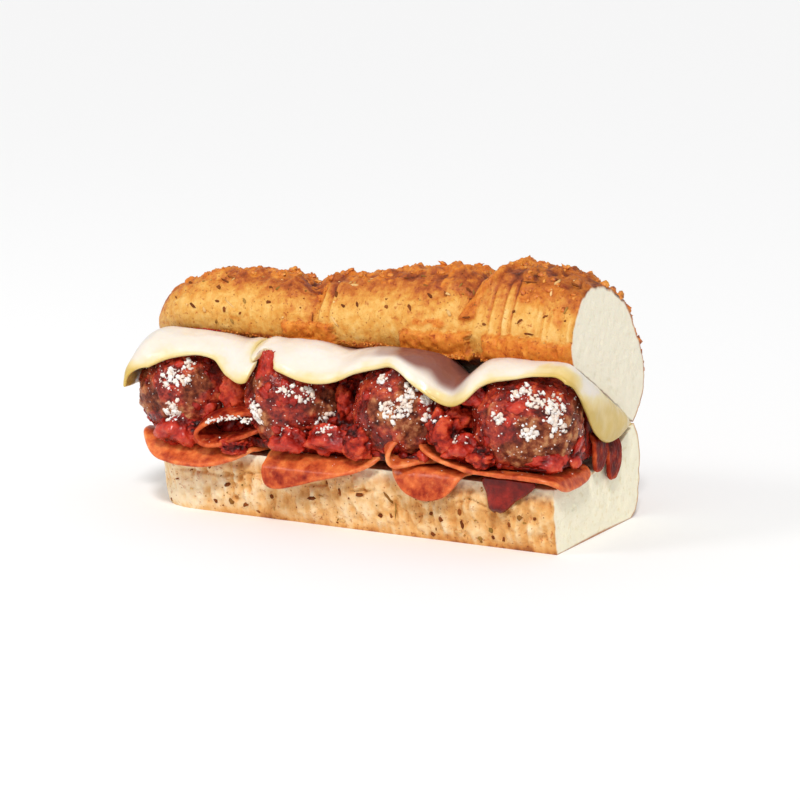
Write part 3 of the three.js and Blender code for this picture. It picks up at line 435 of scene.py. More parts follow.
def bread_material(name, stops, crumb_stops, mottling):
    """Baked crust: browned sugars and flour, matte with a faint sheen. Masks: browning with painted
    shade in furrows, hollows and dents; where cheese is baked onto it (baked); cut crumb (crumb)."""
    material, tree, principled, place = new_material(name, {
        "IOR": 1.45, "Specular IOR Level": 0.3, "Subsurface Weight": 0.1,
        "Subsurface Radius": (0.9, 0.6, 0.35), "Subsurface Scale": 0.0015})
    drawn = add_node(tree, "Mapping", {"Vector": place, "Scale": (1.0, 0.16, 0.16)})
    streak = add_node(tree, "TexNoise", {"Vector": drawn, "Scale": per_mm(1.1), "Detail": 4.0,
                                         "Roughness": 0.6})
    mottle = add_node(tree, "TexNoise", {"Vector": place, "Scale": per_mm(3.0), "Detail": 6.0,
                                         "Roughness": 0.7})
    grain = add_node(tree, "TexNoise", {"Vector": place, "Scale": per_mm(0.5), "Detail": 2.0})
    browning_and_shade, baked, crumb = (add_node(tree, "Attribute", out="Fac", attribute_name=mask)
                           for mask in ("browning_and_shade", "baked", "crumb"))
    brown = add_node(tree, "Math", {0: streak, 1: 0.22, 2: browning_and_shade}, operation="MULTIPLY_ADD")
    brown = add_node(tree, "Math", {0: mottle, 1: mottling, 2: brown}, operation="MULTIPLY_ADD")
    brown = add_node(tree, "Math", {0: brown, 1: 0.11 + 0.5 * mottling}, operation="SUBTRACT")
    crust = add_node(tree, "ValToRGB", {0: brown}, stops=stops)
    cheese = add_node(tree, "ValToRGB", {0: mottle}, stops=BAKED_STOPS)
    crust = add_node(tree, "Mix", {0: baked, 6: crust, 7: cheese}, 2, data_type="RGBA")
    # Dark dots where tiny pinholes would be: painted shade in the holes
    cell = add_node(tree, "TexVoronoi", {"Vector": place, "Scale": per_mm(1.9)})
    pinhole_shade = add_node(tree, "ValToRGB", {0: cell}, stops=[(0.06, "a86c3c"), (0.17, "ffffff")])
    spots = add_node(tree, "TexNoise", {"Vector": place, "Scale": per_mm(1.3), "Detail": 2.0,
                                        "Distortion": 0.8})
    specks = add_node(tree, "ValToRGB", {0: spots}, stops=[(0.6, "ffffff"), (0.74, "c9895a")])
    for layer in (pinhole_shade, specks):
        crust = add_node(tree, "Mix", {0: 0.8, 6: crust, 7: layer}, 2, data_type="RGBA",
                         blend_type="MULTIPLY")
    pores = add_node(tree, "TexNoise", {"Vector": place, "Scale": per_mm(1.8), "Detail": 3.0})
    soft = add_node(tree, "ValToRGB", {0: pores}, stops=crumb_stops)
    colour = add_node(tree, "Mix", {0: crumb, 6: crust, 7: soft}, 2, data_type="RGBA")
    tree.links.new(colour, principled.inputs["Base Color"])
    shine = add_node(tree, "Math", {0: crumb, 1: 0.35, 2: 0.48}, operation="MULTIPLY_ADD")
    tree.links.new(shine, principled.inputs["Roughness"])
    height = add_node(tree, "Math", {0: streak, 1: 0.8}, operation="MULTIPLY")
    height = add_node(tree, "Math", {0: grain, 1: 0.35, 2: height}, operation="MULTIPLY_ADD")
    relief = add_node(tree, "Bump", {"Height": height, "Distance": 0.5 * MM})
    tree.links.new(relief, principled.inputs["Normal"])
    return material


def herb_material():
    """Dried oregano and thyme: crumpled leaf and stalk bits, dark brown to straw by their tint."""
    material, tree, principled, _ = new_material("dried_herbs", {
        "IOR": 1.4, "Specular IOR Level": 0.15, "Roughness": 0.7})
    tint = add_node(tree, "Attribute", out="Fac", attribute_name="tint")
    colour = add_node(tree, "ValToRGB", {0: tint}, stops=[
        (0.0, "6a3416"), (0.3, "8f4f22"), (0.5, "8d6c31"), (0.75, "c08c48"), (1.0, "eec485")])
    tree.links.new(colour, principled.inputs["Base Color"])
    return material


def baked_bits_material():
    """Grated cheese baked onto the crust: fat fried out, orange to toasted brown, a little oily."""
    material, tree, principled, place = new_material("baked_cheese", {
        "IOR": 1.46, "Roughness": 0.42, "Subsurface Weight": 0.15,
        "Subsurface Radius": (1.0, 0.5, 0.2), "Subsurface Scale": 0.001})
    spots = add_node(tree, "TexNoise", {"Vector": place, "Scale": per_mm(1.4), "Detail": 3.0})
    tint = add_node(tree, "Attribute", out="Fac", attribute_name="tint")
    value = add_node(tree, "Math", {0: tint, 1: 0.28, 2: spots}, operation="MULTIPLY_ADD")
    value = add_node(tree, "Math", {0: value, 1: 0.14}, operation="SUBTRACT")
    colour = add_node(tree, "ValToRGB", {0: value}, stops=BAKED_STOPS)
    tree.links.new(colour, principled.inputs["Base Color"])
    relief = add_node(tree, "Bump", {"Height": spots, "Distance": 0.3 * MM})
    tree.links.new(relief, principled.inputs["Normal"])
    return material


def meat_material():
    """Browned minced beef under a film of sauce: rough and brown where bare, red and wet where the
    wet mask says that sauce lies on it; shade is painted in the grain's hollows, lighter on its tops."""
    material, tree, principled, place = new_material("browned_meatball", {
        "IOR": 1.42, "Specular IOR Level": 0.25, "Subsurface Weight": 0.08,
        "Subsurface Radius": (1.0, 0.3, 0.15), "Subsurface Scale": 0.001,
        "Coat Roughness": 0.06, "Coat IOR": 1.4})
    fine = add_node(tree, "TexNoise", {"Vector": place, "Scale": per_mm(1.6), "Detail": 5.0,
                                       "Roughness": 0.7})
    tone_and_shade, wet = (add_node(tree, "Attribute", out="Fac", attribute_name=mask) for mask in ("tone_and_shade", "wet"))
    # Grain height: darker hollows and lighter tops, painted shade and highlight
    value = add_node(tree, "Math", {0: tone_and_shade, 1: 0.4, 2: fine}, operation="MULTIPLY_ADD")
    value = add_node(tree, "Math", {0: value, 1: 0.14}, operation="SUBTRACT")
    bare = add_node(tree, "ValToRGB", {0: value}, stops=[
        (0.25, "33110a"), (0.42, "6c2e17"), (0.58, "95502e"), (0.75, "c48a5c")])
    sauced = add_node(tree, "ValToRGB", {0: value}, stops=[
        (0.22, "3a0806"), (0.42, "78170e"), (0.58, "a32c1a"), (0.72, "c24829"), (0.87, "df713f")])
    colour = add_node(tree, "Mix", {0: wet, 6: bare, 7: sauced}, 2, data_type="RGBA")
    tree.links.new(colour, principled.inputs["Base Color"])
    film = add_node(tree, "Math", {0: wet, 1: 0.55}, operation="MULTIPLY")
    tree.links.new(film, principled.inputs["Coat Weight"])
    shine = add_node(tree, "Math", {0: wet, 1: -0.18, 2: 0.42}, operation="MULTIPLY_ADD")
    tree.links.new(shine, principled.inputs["Roughness"])
    relief = add_node(tree, "Bump", {"Height": fine, "Distance": 0.9 * MM})
    tree.links.new(relief, principled.inputs["Normal"])
    return material


def cheese_material():
    """Melted mozzarella: milky and smooth, light passes some millimetres in. Thin and oily places
    turn straw yellow by the thin mask, and painted shade with some meat juice stain darkens it
    brown-red under the upper bread's edge and in the sag beneath it."""
    material, tree, principled, place = new_material("melted_cheese", {
        "IOR": 1.44, "Roughness": 0.3, "Subsurface Weight": 0.35,
        "Subsurface Radius": (1.0, 0.85, 0.5), "Subsurface Scale": 0.002,
        "Coat Weight": 0.2, "Coat Roughness": 0.15})
    mottle = add_node(tree, "TexNoise", {"Vector": place, "Scale": per_mm(7.0), "Detail": 3.0})
    thin, stain_and_shade = (add_node(tree, "Attribute", out="Fac", attribute_name=mask) for mask in ("thin", "stain_and_shade"))
    value = add_node(tree, "Math", {0: mottle, 1: 0.7, 2: thin}, operation="MULTIPLY_ADD")
    value = add_node(tree, "Math", {0: value, 1: 0.24}, operation="SUBTRACT")
    milky = add_node(tree, "ValToRGB", {0: value}, stops=[
        (0.0, "ece3d9"), (0.28, "e8dccb"), (0.5, "e4d19c"), (0.75, "dcc07a"), (1.0, "cdae58")])
    # Brown-red for painted shade under the upper bread, with some meat juice
    colour = add_node(tree, "Mix", {0: stain_and_shade, 6: milky, 7: hex_colour("7e3f30")}, 2, data_type="RGBA")
    tree.links.new(colour, principled.inputs["Base Color"])
    relief = add_node(tree, "TexNoise", {"Vector": place, "Scale": per_mm(2.5), "Detail": 2.0})
    relief = add_node(tree, "Bump", {"Height": relief, "Distance": 0.25 * MM})
    tree.links.new(relief, principled.inputs["Normal"])
    return material


def pepperoni_material():
    """Cured sausage: paprika-orange lean with paler fat flecks, translucent and oily; the rim mask
    paints the thin rim brighter as a painted glow, and the dark mask deepens each slice by its given
    share and paints shade on the parts that hang low."""
    material, tree, principled, place = new_material("cured_pepperoni", {
        "IOR": 1.43, "Roughness": 0.36, "Subsurface Weight": 0.25,
        "Subsurface Radius": (1.0, 0.35, 0.15), "Subsurface Scale": 0.0015,
        "Coat Roughness": 0.15})
    lean = add_node(tree, "TexNoise", {"Vector": place, "Scale": per_mm(3.4), "Detail": 5.0,
                                       "Roughness": 0.62})
    dark, rim = (add_node(tree, "Attribute", out="Fac", attribute_name=mask) for mask in ("dark", "rim"))
    coat = add_node(tree, "Math", {0: dark, 1: -0.15, 2: 0.18}, operation="MULTIPLY_ADD", use_clamp=True)
    tree.links.new(coat, principled.inputs["Coat Weight"])
    shine = add_node(tree, "Math", {0: dark, 1: -0.22, 2: 0.32}, operation="MULTIPLY_ADD", use_clamp=True)
    tree.links.new(shine, principled.inputs["Specular IOR Level"])
    value = add_node(tree, "Math", {0: dark, 1: -0.3, 2: lean}, operation="MULTIPLY_ADD")
    # Brighter at the thin rim: a painted glow
    value = add_node(tree, "Math", {0: rim, 1: 0.16, 2: value}, operation="MULTIPLY_ADD")
    meat = add_node(tree, "ValToRGB", {0: value}, stops=[
        (0.0, "4a0704"), (0.2, "7c180c"), (0.34, "ab3c1d"), (0.52, "d26331"), (0.64, "e27c40"),
        (0.8, "ef9d5f")])
    fat = add_node(tree, "TexNoise", {"Vector": place, "Scale": per_mm(1.3), "Detail": 3.0})
    flecks = add_node(tree, "ValToRGB", {0: fat}, stops=[(0.6, "000000"), (0.72, "6e6e6e")])
    colour = add_node(tree, "Mix", {0: flecks, 6: meat, 7: hex_colour("f2ab6c")}, 2, data_type="RGBA")
    tree.links.new(colour, principled.inputs["Base Color"])
    relief = add_node(tree, "Bump", {"Height": fat, "Distance": 0.1 * MM})
    tree.links.new(relief, principled.inputs["Normal"])
    return material


def sauce_material(name, pulpy):
    """Cooked tomato sauce: wet and deep red, with painted shade in its hollows and painted orange-red
    highlights on the oil and pulp that stand out; on the drip the mask only varies the tone. Sauce
    with its pulp strained out is smoother and clearer."""
    material, tree, principled, place = new_material(name, {
        "IOR": 1.38, "Specular IOR Level": 0.2, "Roughness": 0.25, "Subsurface Weight": 0.12,
        "Subsurface Radius": (1.0, 0.2, 0.08), "Subsurface Scale": 0.001,
        "Coat Weight": 0.2 if pulpy else 0.35, "Coat Roughness": 0.05})
    pulp = add_node(tree, "TexNoise", {"Vector": place, "Scale": per_mm(2.0), "Detail": 5.0,
                                       "Roughness": 0.65})
    tone_and_shade = add_node(tree, "Attribute", out="Fac", attribute_name="tone_and_shade")
    depth = add_node(tree, "Math", {0: pulp, 1: 1.0 if pulpy else 0.5}, operation="MULTIPLY")
    # Height of the pulp: painted shade where low, painted highlight where high
    value = add_node(tree, "Math", {0: tone_and_shade, 1: 0.6, 2: depth}, operation="MULTIPLY_ADD")
    value = add_node(tree, "Math", {0: value, 1: 0.28 if pulpy else 0.14}, operation="SUBTRACT")
    colour = add_node(tree, "ValToRGB", {0: value}, stops=[
        (0.2, "330604"), (0.38, "701209"), (0.52, "982012"), (0.68, "b8321c"), (0.84, "d4522e")])
    tree.links.new(colour, principled.inputs["Base Color"])
    relief = add_node(tree, "Bump", {"Height": pulp, "Distance": (0.8 if pulpy else 0.25) * MM})
    tree.links.new(relief, principled.inputs["Normal"])
    return material


def tomato_material():
    """Cooked tomato pieces: soft glossy flesh, scarlet with paler orange patches; their tint mask
    paints shade in their dents and lighter bulges.
    """
    material, tree, principled, place = new_material("cooked_tomato", {
        "IOR": 1.38, "Specular IOR Level": 0.25, "Roughness": 0.25, "Subsurface Weight": 0.15,
        "Subsurface Radius": (1.0, 0.25, 0.1), "Subsurface Scale": 0.001,
        "Coat Weight": 0.4, "Coat Roughness": 0.06})
    patches = add_node(tree, "TexNoise", {"Vector": place, "Scale": per_mm(3.0), "Detail": 5.0,
                                          "Roughness": 0.65})
    tint = add_node(tree, "Attribute", out="Fac", attribute_name="tint")
    value = add_node(tree, "Math", {0: tint, 1: 0.3, 2: patches}, operation="MULTIPLY_ADD")
    value = add_node(tree, "Math", {0: value, 1: 0.15}, operation="SUBTRACT")
    colour = add_node(tree, "ValToRGB", {0: value}, stops=[
        (0.25, "5c0d08"), (0.42, "951b10"), (0.56, "b62a1b"), (0.7, "ca4029"), (0.86, "dc6239")])
    tree.links.new(colour, principled.inputs["Base Color"])
    relief = add_node(tree, "Bump", {"Height": patches, "Distance": 0.8 * MM})
    tree.links.new(relief, principled.inputs["Normal"])
    return material


def parmesan_material():
    """Grated hard cheese: dry chalky crumbs, off-white."""
    material, tree, principled, _ = new_material("grated_hard_cheese", {
        "IOR": 1.45, "Roughness": 0.6, "Subsurface Weight": 0.3,
        "Subsurface Radius": (1.0, 0.9, 0.7), "Subsurface Scale": 0.0006})
    tint = add_node(tree, "Attribute", out="Fac", attribute_name="tint")
    colour = add_node(tree, "ValToRGB", {0: tint}, stops=[(0.0, "f0d6c2"), (0.5, "f9ece0"), (1.0, "fffaf4")])
    tree.links.new(colour, principled.inputs["Base Color"])
    return material


# Upper bread half
def top_outline():
    """Section of the crust: superellipse arcs, fuller in front and flatter behind, elliptic below."""
    low_front = math.acos((TOP_FRONT_U - TOP_MID_U) / TOP_HALF_U)
    low_back = math.acos(TOP_MID_U / TOP_HALF_U)
    angle = np.linspace(-low_front, math.pi + low_back, 241)
    c, s = np.cos(angle), np.sin(angle)
    power = np.where(s > 0, np.where(c > 0, 2.45, 1.65), 2.0)
    drop = np.where(c > 0, TOP_WIDE_V / math.sin(low_front), TOP_WIDE_V / math.sin(low_back))
    rise = np.where(s > 0, TOP_RISE, drop)
    u = TOP_MID_U + TOP_HALF_U * np.sign(c) * np.abs(c) ** (2 / power)
    v = TOP_WIDE_V + rise * np.sign(s) * np.abs(s) ** (2 / power)
    return measured(np.column_stack([u, v]))


TOP_TABLE = top_outline()
TOP_LENGTH = TOP_TABLE[-1, 0]


def furrow_line(low, high, s):
    """Place of a furrow along the loaf: it leans from its place on the side to that on the crown."""
    return mix(low, high, ease(18, 38, s))


def near_cut(x, far, near):
    """Nought until a distance before the cut, rising to one at a nearer distance."""
    return ease(CUT_X - far, CUT_X - near, x)


def stretched_mask(x, s):
    """Where the dough is stretched smooth: the highest of the soft-edged oblongs."""
    mask = 0.0
    for x0, x1, s0, s1 in STRETCHED:
        mask = np.maximum(mask, band(x0, x1, 1.2, x) * band(s0, s1, 2.5, s))
    return mask


def ribbon_edge(x, s):
    """How far the sides of the ribbons wander: coarse noise and finer noise on it."""
    return 0.9 * noise(x / 1.6, s / 1.6, 21.0) + 0.5 * noise(x / 0.7, s / 0.7, 22.0)


def ribbon_mask(x, s):
    """Where the ribbons of baked cheese lie: bands along the lower front with ragged sides."""
    mask = 0.0
    ragged = ribbon_edge(x, s)
    up = band(-0.6, 7.5, 0.45, s + 0.6 * ragged)
    for start, end, _ in RIBBONS:
        mask = np.maximum(mask, band(start, end, 0.5, x + ragged) * up)
    return mask


def ribbon_slabs(x, s):
    """Height of the ribbons: slabs with ragged sides and a grained top, lower close to the cut."""
    ragged = ribbon_edge(x, s)
    up = band(-0.6, 7.4, 0.3, s + 0.6 * ragged)
    slabs = 0.0
    for start, end, height in RIBBONS:
        slabs = np.maximum(slabs, (height + 0.7) * band(start, end, 0.35, x + ragged) * up)
    slabs = slabs * (1 + 0.22 * noise(x / 2.4, s / 1.8, 31.0)) * ease(-0.4, 0.8, s)
    slabs = slabs * (1 - 0.75 * near_cut(x, 2, 0.2))
    return slabs + 0.25 * ease(0.3, 1.5, slabs) * rough(x / 0.6, s / 1.4, 33.0, 2)


def strap_mask(x, s):
    """The strap's band about its line, wider at its lower end."""
    away = np.abs(x - curve(STRAP, s)) + 0.3 * noise(x / 2, s / 2, 25.0)
    wide = mix(2.4, 1.5, ease(13, 26, s))
    return ease(wide + 0.5, wide - 0.5, away) * ease(10.5, 12.5, s) * (1 - ease(44, 52, s))


def patch_mask(x, s):
    """Ragged ellipses of baked cheese in front, and scattered ones over the far side."""
    ragged = 0.4 * rough(x / 3.2, s / 3.2, 17.0, 3, 0.6)
    mask = band(46, 78, 6, s) * ease(0.05, 0.3, noise(x / 7, s / 7, 19.0) + 0.5 * ragged)
    for middle, length, half_x, half_s in PATCHES:
        away = np.hypot((x - middle) / half_x, (s - length) / half_s)
        mask = np.maximum(mask, ease(1.1, 0.86, away + ragged))
    return mask * ease(-0.75, -0.1, rough(x / 2.2, s / 2.2, 27.0, 2))


def top_relief(x, s):
    """Height of the crust over its section: leaning furrows, soft swellings, lumps on the crown,
    patches of baked cheese, the strap, strands of stretched dough, pitting, a rough lower edge and
    the slabs of the ribbons. It fades to nought at both ends of the section."""
    h = 0.0
    for low, high, depth, width in FURROWS:
        weight = mix(0.35, 1, ease(4, 26, s)) * (1 - 0.5 * ease(45, 80, s))
        h = h - depth * weight * np.exp(-(((x - furrow_line(low, high, s)) / width) ** 2))
    h = h + 0.7 * noise(x / 13, s / 13, 3.3) + 0.3 * noise(x / 6, s / 6, 7.7)
    crown = ease(15, 27, s) * (1 - ease(52, 72, s)) * (1 - 0.6 * near_cut(x, 4, 0.4))
    h = h + 1.5 * crown * np.maximum(0, noise(x / 3.6, s / 3.6, 9.1) + 0.15)
    lumps, value = cells(x / 2.6, s / 2.6, 12.0)
    crust = 0.15 + 1.1 * value * ease(0.6, 0.15, lumps) + 0.3 * rough(x / 1.3, s / 1.3, 13.0, 2)
    crust = crust * (1 - 0.85 * near_cut(x, 2.5, 0.4))
    strap = strap_mask(x, s)
    h = h + patch_mask(x, s) * (1 - strap) * crust + 1.5 * strap
    stretched = stretched_mask(x, s)
    h = h + mix(0.1, 0.85, stretched * (1 - strap)) * noise(x / 1.0, s / 15, 4.0)
    pitted = (1 - stretched) * mix(0.12, 0.3, ease(8, 20, s))
    h = h + pitted * rough(x / 1.7, s / 1.7, 15.0, 3, 0.6)
    h = h + 0.3 * rough(x / 0.9, s / 0.9, 16.0, 2) * (1 - ease(0.6, 2.6, s))
    return h * ease(0, 2.5, s) * ease(0, 6, TOP_LENGTH - s) + ribbon_slabs(x, s)


def top_place(x, u, v):
    """Section axes u and v laid back by the tilt from the hinge."""
    x, u, v = np.broadcast_arrays(x, u, v)
    y = HINGE_Y - u * math.cos(TOP_TILT) + v * math.sin(TOP_TILT)
    z = HINGE_Z + u * math.sin(TOP_TILT) + v * math.cos(TOP_TILT)
    return np.stack([x, y, z], -1)


def top_scaled(x, u, v):
    """Section point at a station, shrunk about its middle near the rounded end."""
    share = end_share(x - TOP_TIP_X, TOP_TIP_LENGTH, 2.1)
    tall = v * curve(CROWN, x)
    mid_u, mid_v = TOP_MIDDLE
    return top_place(x, mix(mid_u, u, share), mix(mid_v, tall, share))


def top_skin(x, s):
    """Crust point at a station and a length round the section, lifted by the relief."""
    u, v = along(TOP_TABLE, s)
    before, after = (along(TOP_TABLE, np.clip(s + e, 0, TOP_LENGTH)) for e in (-0.5, 0.5))
    nu, nv = after[1] - before[1], before[0] - after[0]
    size = np.hypot(nu, nv)
    share = end_share(x - TOP_TIP_X, TOP_TIP_LENGTH, 2.1)
    h = top_relief(x, s) * share / size
    point = top_scaled(x, u, v)
    return point + (top_place(0, nu * h, nv * h) - top_place(0, 0, 0))


def stations(tip, count):
    """Places along the loaf, closer together near the rounded end."""
    return mix(tip + 0.08, CUT_X, np.linspace(0, 1, count) ** 1.35)


def crumb_relief(y, z, seed):
    """Torn crumb of a cut face: soft lumps with a few shallow pores."""
    distance, value = cells(y / 4.2, z / 4.2, seed)
    pore = ease(0.26, 0.08, distance) * (value > 0.7) * value
    small, small_value = cells(y / 1.9, z / 1.9, seed + 3)
    pinhole = ease(0.25, 0.1, small) * (small_value > 0.72)
    return 0.14 * rough(y / 2.6, z / 2.6, seed, 3) - 0.45 * pore - 0.16 * pinhole


def cut_rings(ring, centre, rows, seed):
    """Rings that shrink onto the middle of the cut face, sunk by the crumb relief."""
    k = (np.linspace(0, 1, rows + 2)[1:-1] ** 0.85)[:, None, None]
    rings = ring[None] + (centre - ring[None]) * k
    depth = np.linalg.norm(ring - centre, axis=-1)[None] * k[..., 0]
    rings[..., 0] += crumb_relief(rings[..., 1], rings[..., 2], seed) * ease(0.2, 1.6, depth)
    return rings, depth


def top_bread(material):
    """Crust round the section and flat crumb beneath at each station, then the cut face."""
    count, round_count, flat_count, cut_count = TOP_GRID
    x = stations(TOP_TIP_X, count)[:, None]
    t = np.linspace(0, 1, round_count)
    s = (TOP_LENGTH * mix(t, t * t, 0.35))[None]
    crust = top_skin(x, s)
    u = np.linspace(0, TOP_FRONT_U, flat_count)[None, 1:-1]
    inner = top_scaled(x, u, 0.0)
    inner_relief = 0.25 * rough(x / 2.2, u / 2.2, 6.6, 3)
    inner = inner + inner_relief[..., None] * (top_place(0, 0, 1) - top_place(0, 0, 0))
    rings = np.concatenate([crust, inner], 1)
    cut_middle = top_place(CUT_X, *TOP_CUT_MIDDLE)
    face, depth = cut_rings(rings[-1], cut_middle, cut_count, 3.0)
    masks = {}
    for mask, on_crust, on_flat in (
            ("browning_and_shade", top_browning_and_shade(x, s), 0.95),
            ("baked", top_baked(x, s), 0.0),
            ("crumb", np.zeros(crust.shape[:2]), ease(42, 33, u))):
        ringed = np.concatenate([on_crust, np.broadcast_to(on_flat, inner.shape[:2])], 1)
        on_cut = ease(0.25, 0.9, depth) if mask == "crumb" else np.broadcast_to(ringed[-1:], depth.shape)
        masks[mask] = np.concatenate([ringed, on_cut])
    poles = [top_place(TOP_TIP_X, *TOP_MIDDLE), cut_middle]
    rings = np.concatenate([rings, face])
    return lofted("top_bread", rings, poles, material, ["bread_top"], masks)


def top_browning_and_shade(x, s):
    """How browned the crust is: pale low down on its side, amber on the crown, darker near the tip
    and at the lower edge. Painted shade darkens the furrows, the ribbons' sides, the hollows of the
    pitting and of the stretched strands, and the lower edge where it meets the cheese."""
    browning_and_shade = mix(0.26, 0.68, ease(10, 27, s)) - 0.22 * ease(42, 64, s)
    browning_and_shade = browning_and_shade + 0.11 * noise(x / 14, s / 14, 41.0)
    browning_and_shade = browning_and_shade + mix(0.05, 0.12, ease(14, 26, s)) * noise(x / 5, s / 5, 42.0)
    # Browner at the lower edge: toasted crust, and painted shade where it meets the cheese
    browning_and_shade = browning_and_shade + 0.36 * (1 - ease(0.2, 3.4, s))
    # Browner in the pitting's hollows, paler on its tops: painted shade
    browning_and_shade = browning_and_shade - 0.07 * rough(x / 1.7, s / 1.7, 15.0, 3, 0.6)
    # Paler stretched strands, browner between them: their own colour with painted shade
    browning_and_shade = browning_and_shade - 0.3 * stretched_mask(x, s) * noise(x / 1.0, s / 15, 4.0)
    # Darker along each furrow: painted shade in the crease
    for low, high, _, _ in FURROWS:
        browning_and_shade = browning_and_shade + 0.14 * np.exp(-(((x - furrow_line(low, high, s)) / 1.5) ** 2))
    ribbon = ribbon_mask(x, s)
    # Darker at the ribbons' sides: painted shade that sets the slabs off; browner near the tip
    browning_and_shade = browning_and_shade + 0.9 * ribbon * (1 - ribbon) + 0.12 * (1 - ease(0, 12, x - TOP_TIP_X))
    browning_and_shade = browning_and_shade + 0.18 * ease(46, 70, x) * ease(14, 26, s)
    return mix(browning_and_shade, 0.5 + 0.5 * (1 - ease(11, 14, s)), strap_mask(x, s))


def top_baked(x, s):
    """How far baked cheese covers the crust: the highest of ribbons, strap and patches."""
    strap = strap_mask(x, s)
    patch = mix(0.9, 0.5, ease(48, 64, x)) * patch_mask(x, s) * (1 - strap)
    return np.maximum(np.maximum(ribbon_mask(x, s), 0.85 * strap), patch)


# Lower bread half
def bed_height(y):
    """Height of the opened bread: a line from its front edge to its back edge, sagging between."""
    (y0, z0), (y1, z1) = LOW_FRONT[-1], LOW_BACK[0]
    t = np.clip((y - y0) / (y1 - y0), 0, 1)
    return mix(z0, z1, t) - LOW_SAG * 4 * t * (1 - t)


def low_grain(x, z):
    """Wrinkles and upright strands of the lower crust, and dents with a value for each."""
    wrinkles = rough(x / 2.2, z / 3.4, 6.0, 3, 0.6)
    strands = noise(x / 1.2, z / 7, 4.0)
    distance, value = cells(x / 4.6, z / 4.0, 8.0)
    return wrinkles, strands, ease(0.4, 0.1, distance), value


def low_relief(x, y, z):
    """Height of the lower crust: soft lumps, with wrinkles, strands, dents and a broken fold on top."""
    wrinkles, strands, dents, value = low_grain(x, z)
    lumps = 0.7 * noise(x / 9, z / 7, 2.2) + 0.45 * noise(x / 4, z / 5, 5.1)
    lumps = lumps + 0.65 * wrinkles + 0.42 * strands - 1.1 * dents * (value > 0.66)
    fold = z - LOW_FOLD_Z - 1.2 * noise(x / 5, 3.0, 2.0)
    broken = ease(-0.3, 0.3, noise(x / 7, 5.0, 9.0))
    lumps = lumps - 0.9 * np.exp(-((fold / 0.55) ** 2)) * broken
    return np.sign(y) * lumps * ease(0, 4, z) * (1 - ease(17, 21, z))


def low_scaled(x, y, z):
    """Section point at a station, shrunk about the middle line near the rounded end."""
    share = end_share(x - LOW_TIP_X, LOW_TIP_LENGTH, 2.4)
    tall = end_share(x - LOW_TIP_X, LOW_TIP_LENGTH * 0.5, 2.2)
    x, y, z = np.broadcast_arrays(x, y, z)
    mid_y, mid_z = LOW_MIDDLE
    return np.stack([x, mix(mid_y, y, share), mix(mid_z, z, tall)], -1)


LOW_FRONT_TABLE = smooth_path(LOW_FRONT, 80)
LOW_BACK_TABLE = smooth_path(LOW_BACK, 100)


def low_skin(table, x, s):
    """Crust point at a station and a length up one side of the section, lifted by the relief."""
    y, z = along(table, s)
    return low_scaled(x, y + low_relief(x, y, z), z)


def low_front_skin(x, s):
    """The front side of the lower crust."""
    return low_skin(LOW_FRONT_TABLE, x, s)


def bottom_bread(material):
    """Front crust, bed, back crust and flat underside at each station, then the cut face."""
    def steps(start, end, count):
        return np.linspace(start, end, count, endpoint=False)[None]

    count, front_count, bed_count, back_count, under_count, cut_count = LOW_GRID
    x = stations(LOW_TIP_X, count)[:, None]
    y_bed = steps(LOW_FRONT[-1][0], LOW_BACK[0][0], bed_count)
    torn = 0.2 * rough(x / 2.4, y_bed / 2.4, 3.0, 3) * band(-25, 22, 2, y_bed)
    parts = [
        low_front_skin(x, steps(0, LOW_FRONT_TABLE[-1, 0], front_count)),
        low_scaled(x, y_bed, bed_height(y_bed) + torn),
        low_skin(LOW_BACK_TABLE, x, steps(0, LOW_BACK_TABLE[-1, 0], back_count)),
        low_scaled(x, steps(UNDER_HALF_Y, -UNDER_HALF_Y, under_count), 0.0),
    ]
    rings = np.concatenate(parts, 1)
    cut_middle = np.array([CUT_X, *LOW_CUT_MIDDLE])
    face, depth = cut_rings(rings[-1], cut_middle, cut_count, 7.0)
    torn_share = (0, 0.9, 0, 0)
    crumb = np.concatenate([np.full(p.shape[:2], value) for p, value in zip(parts, torn_share)], 1)
    lip_y, lip_z = LOW_FRONT[-1]
    lip = np.exp(-((rings[..., 1] - lip_y) ** 2 + (rings[..., 2] - lip_z) ** 2) / 6)
    crumb = mix(crumb, 0.9, lip)
    browning_and_shade = low_browning_and_shade(rings[..., 0], rings[..., 2])
    masks = {
        "crumb": np.concatenate([crumb, ease(0.25, 0.9, depth)]),
        "browning_and_shade": np.concatenate([browning_and_shade, np.broadcast_to(browning_and_shade[-1:], depth.shape)]),
    }
    poles = [(LOW_TIP_X, *LOW_MIDDLE), cut_middle]
    rings = np.concatenate([rings, face])
    return lofted("bottom_bread", rings, poles, material, ["bread_bottom"], masks)


def low_browning_and_shade(x, z):
    """How browned the lower crust is: cream at the rounded end, beige with golden and brown
    patches, browner low down and towards the cut end, with painted shade in dents and wrinkle hollows."""
    wrinkles, strands, dents, value = low_grain(x, z)
    browning_and_shade = 0.32 + 0.1 * noise(x / 9, z / 6, 51.0) + 0.07 * rough(x / 3.2, z / 3.2, 52.0, 3, 0.6)
    # Darker in dents and wrinkle hollows, paler on ridges and strands: painted shade
    browning_and_shade = browning_and_shade + 0.14 * dents * (value > 0.62) - 0.14 * wrinkles - 0.12 * strands
    browning_and_shade = browning_and_shade + 0.22 * (1 - ease(0, 2.6, z)) + 0.1 * ease(20, 60, x)
    return browning_and_shade - 0.3 * (1 - ease(12, 44, x - LOW_TIP_X))


# Meatballs
# Bare browned meat on each ball: polar angle, azimuth and half-width in degrees
BARE_MEAT = [
    [(92, -120, 24), (80, -52, 20), (112, -80, 14)],
    [(88, -24, 24), (66, -120, 14), (104, -100, 12)],
    [(100, -50, 24), (84, -98, 16), (66, -60, 14)],
    [(118, -62, 30), (96, -14, 28), (80, -70, 14)],
]


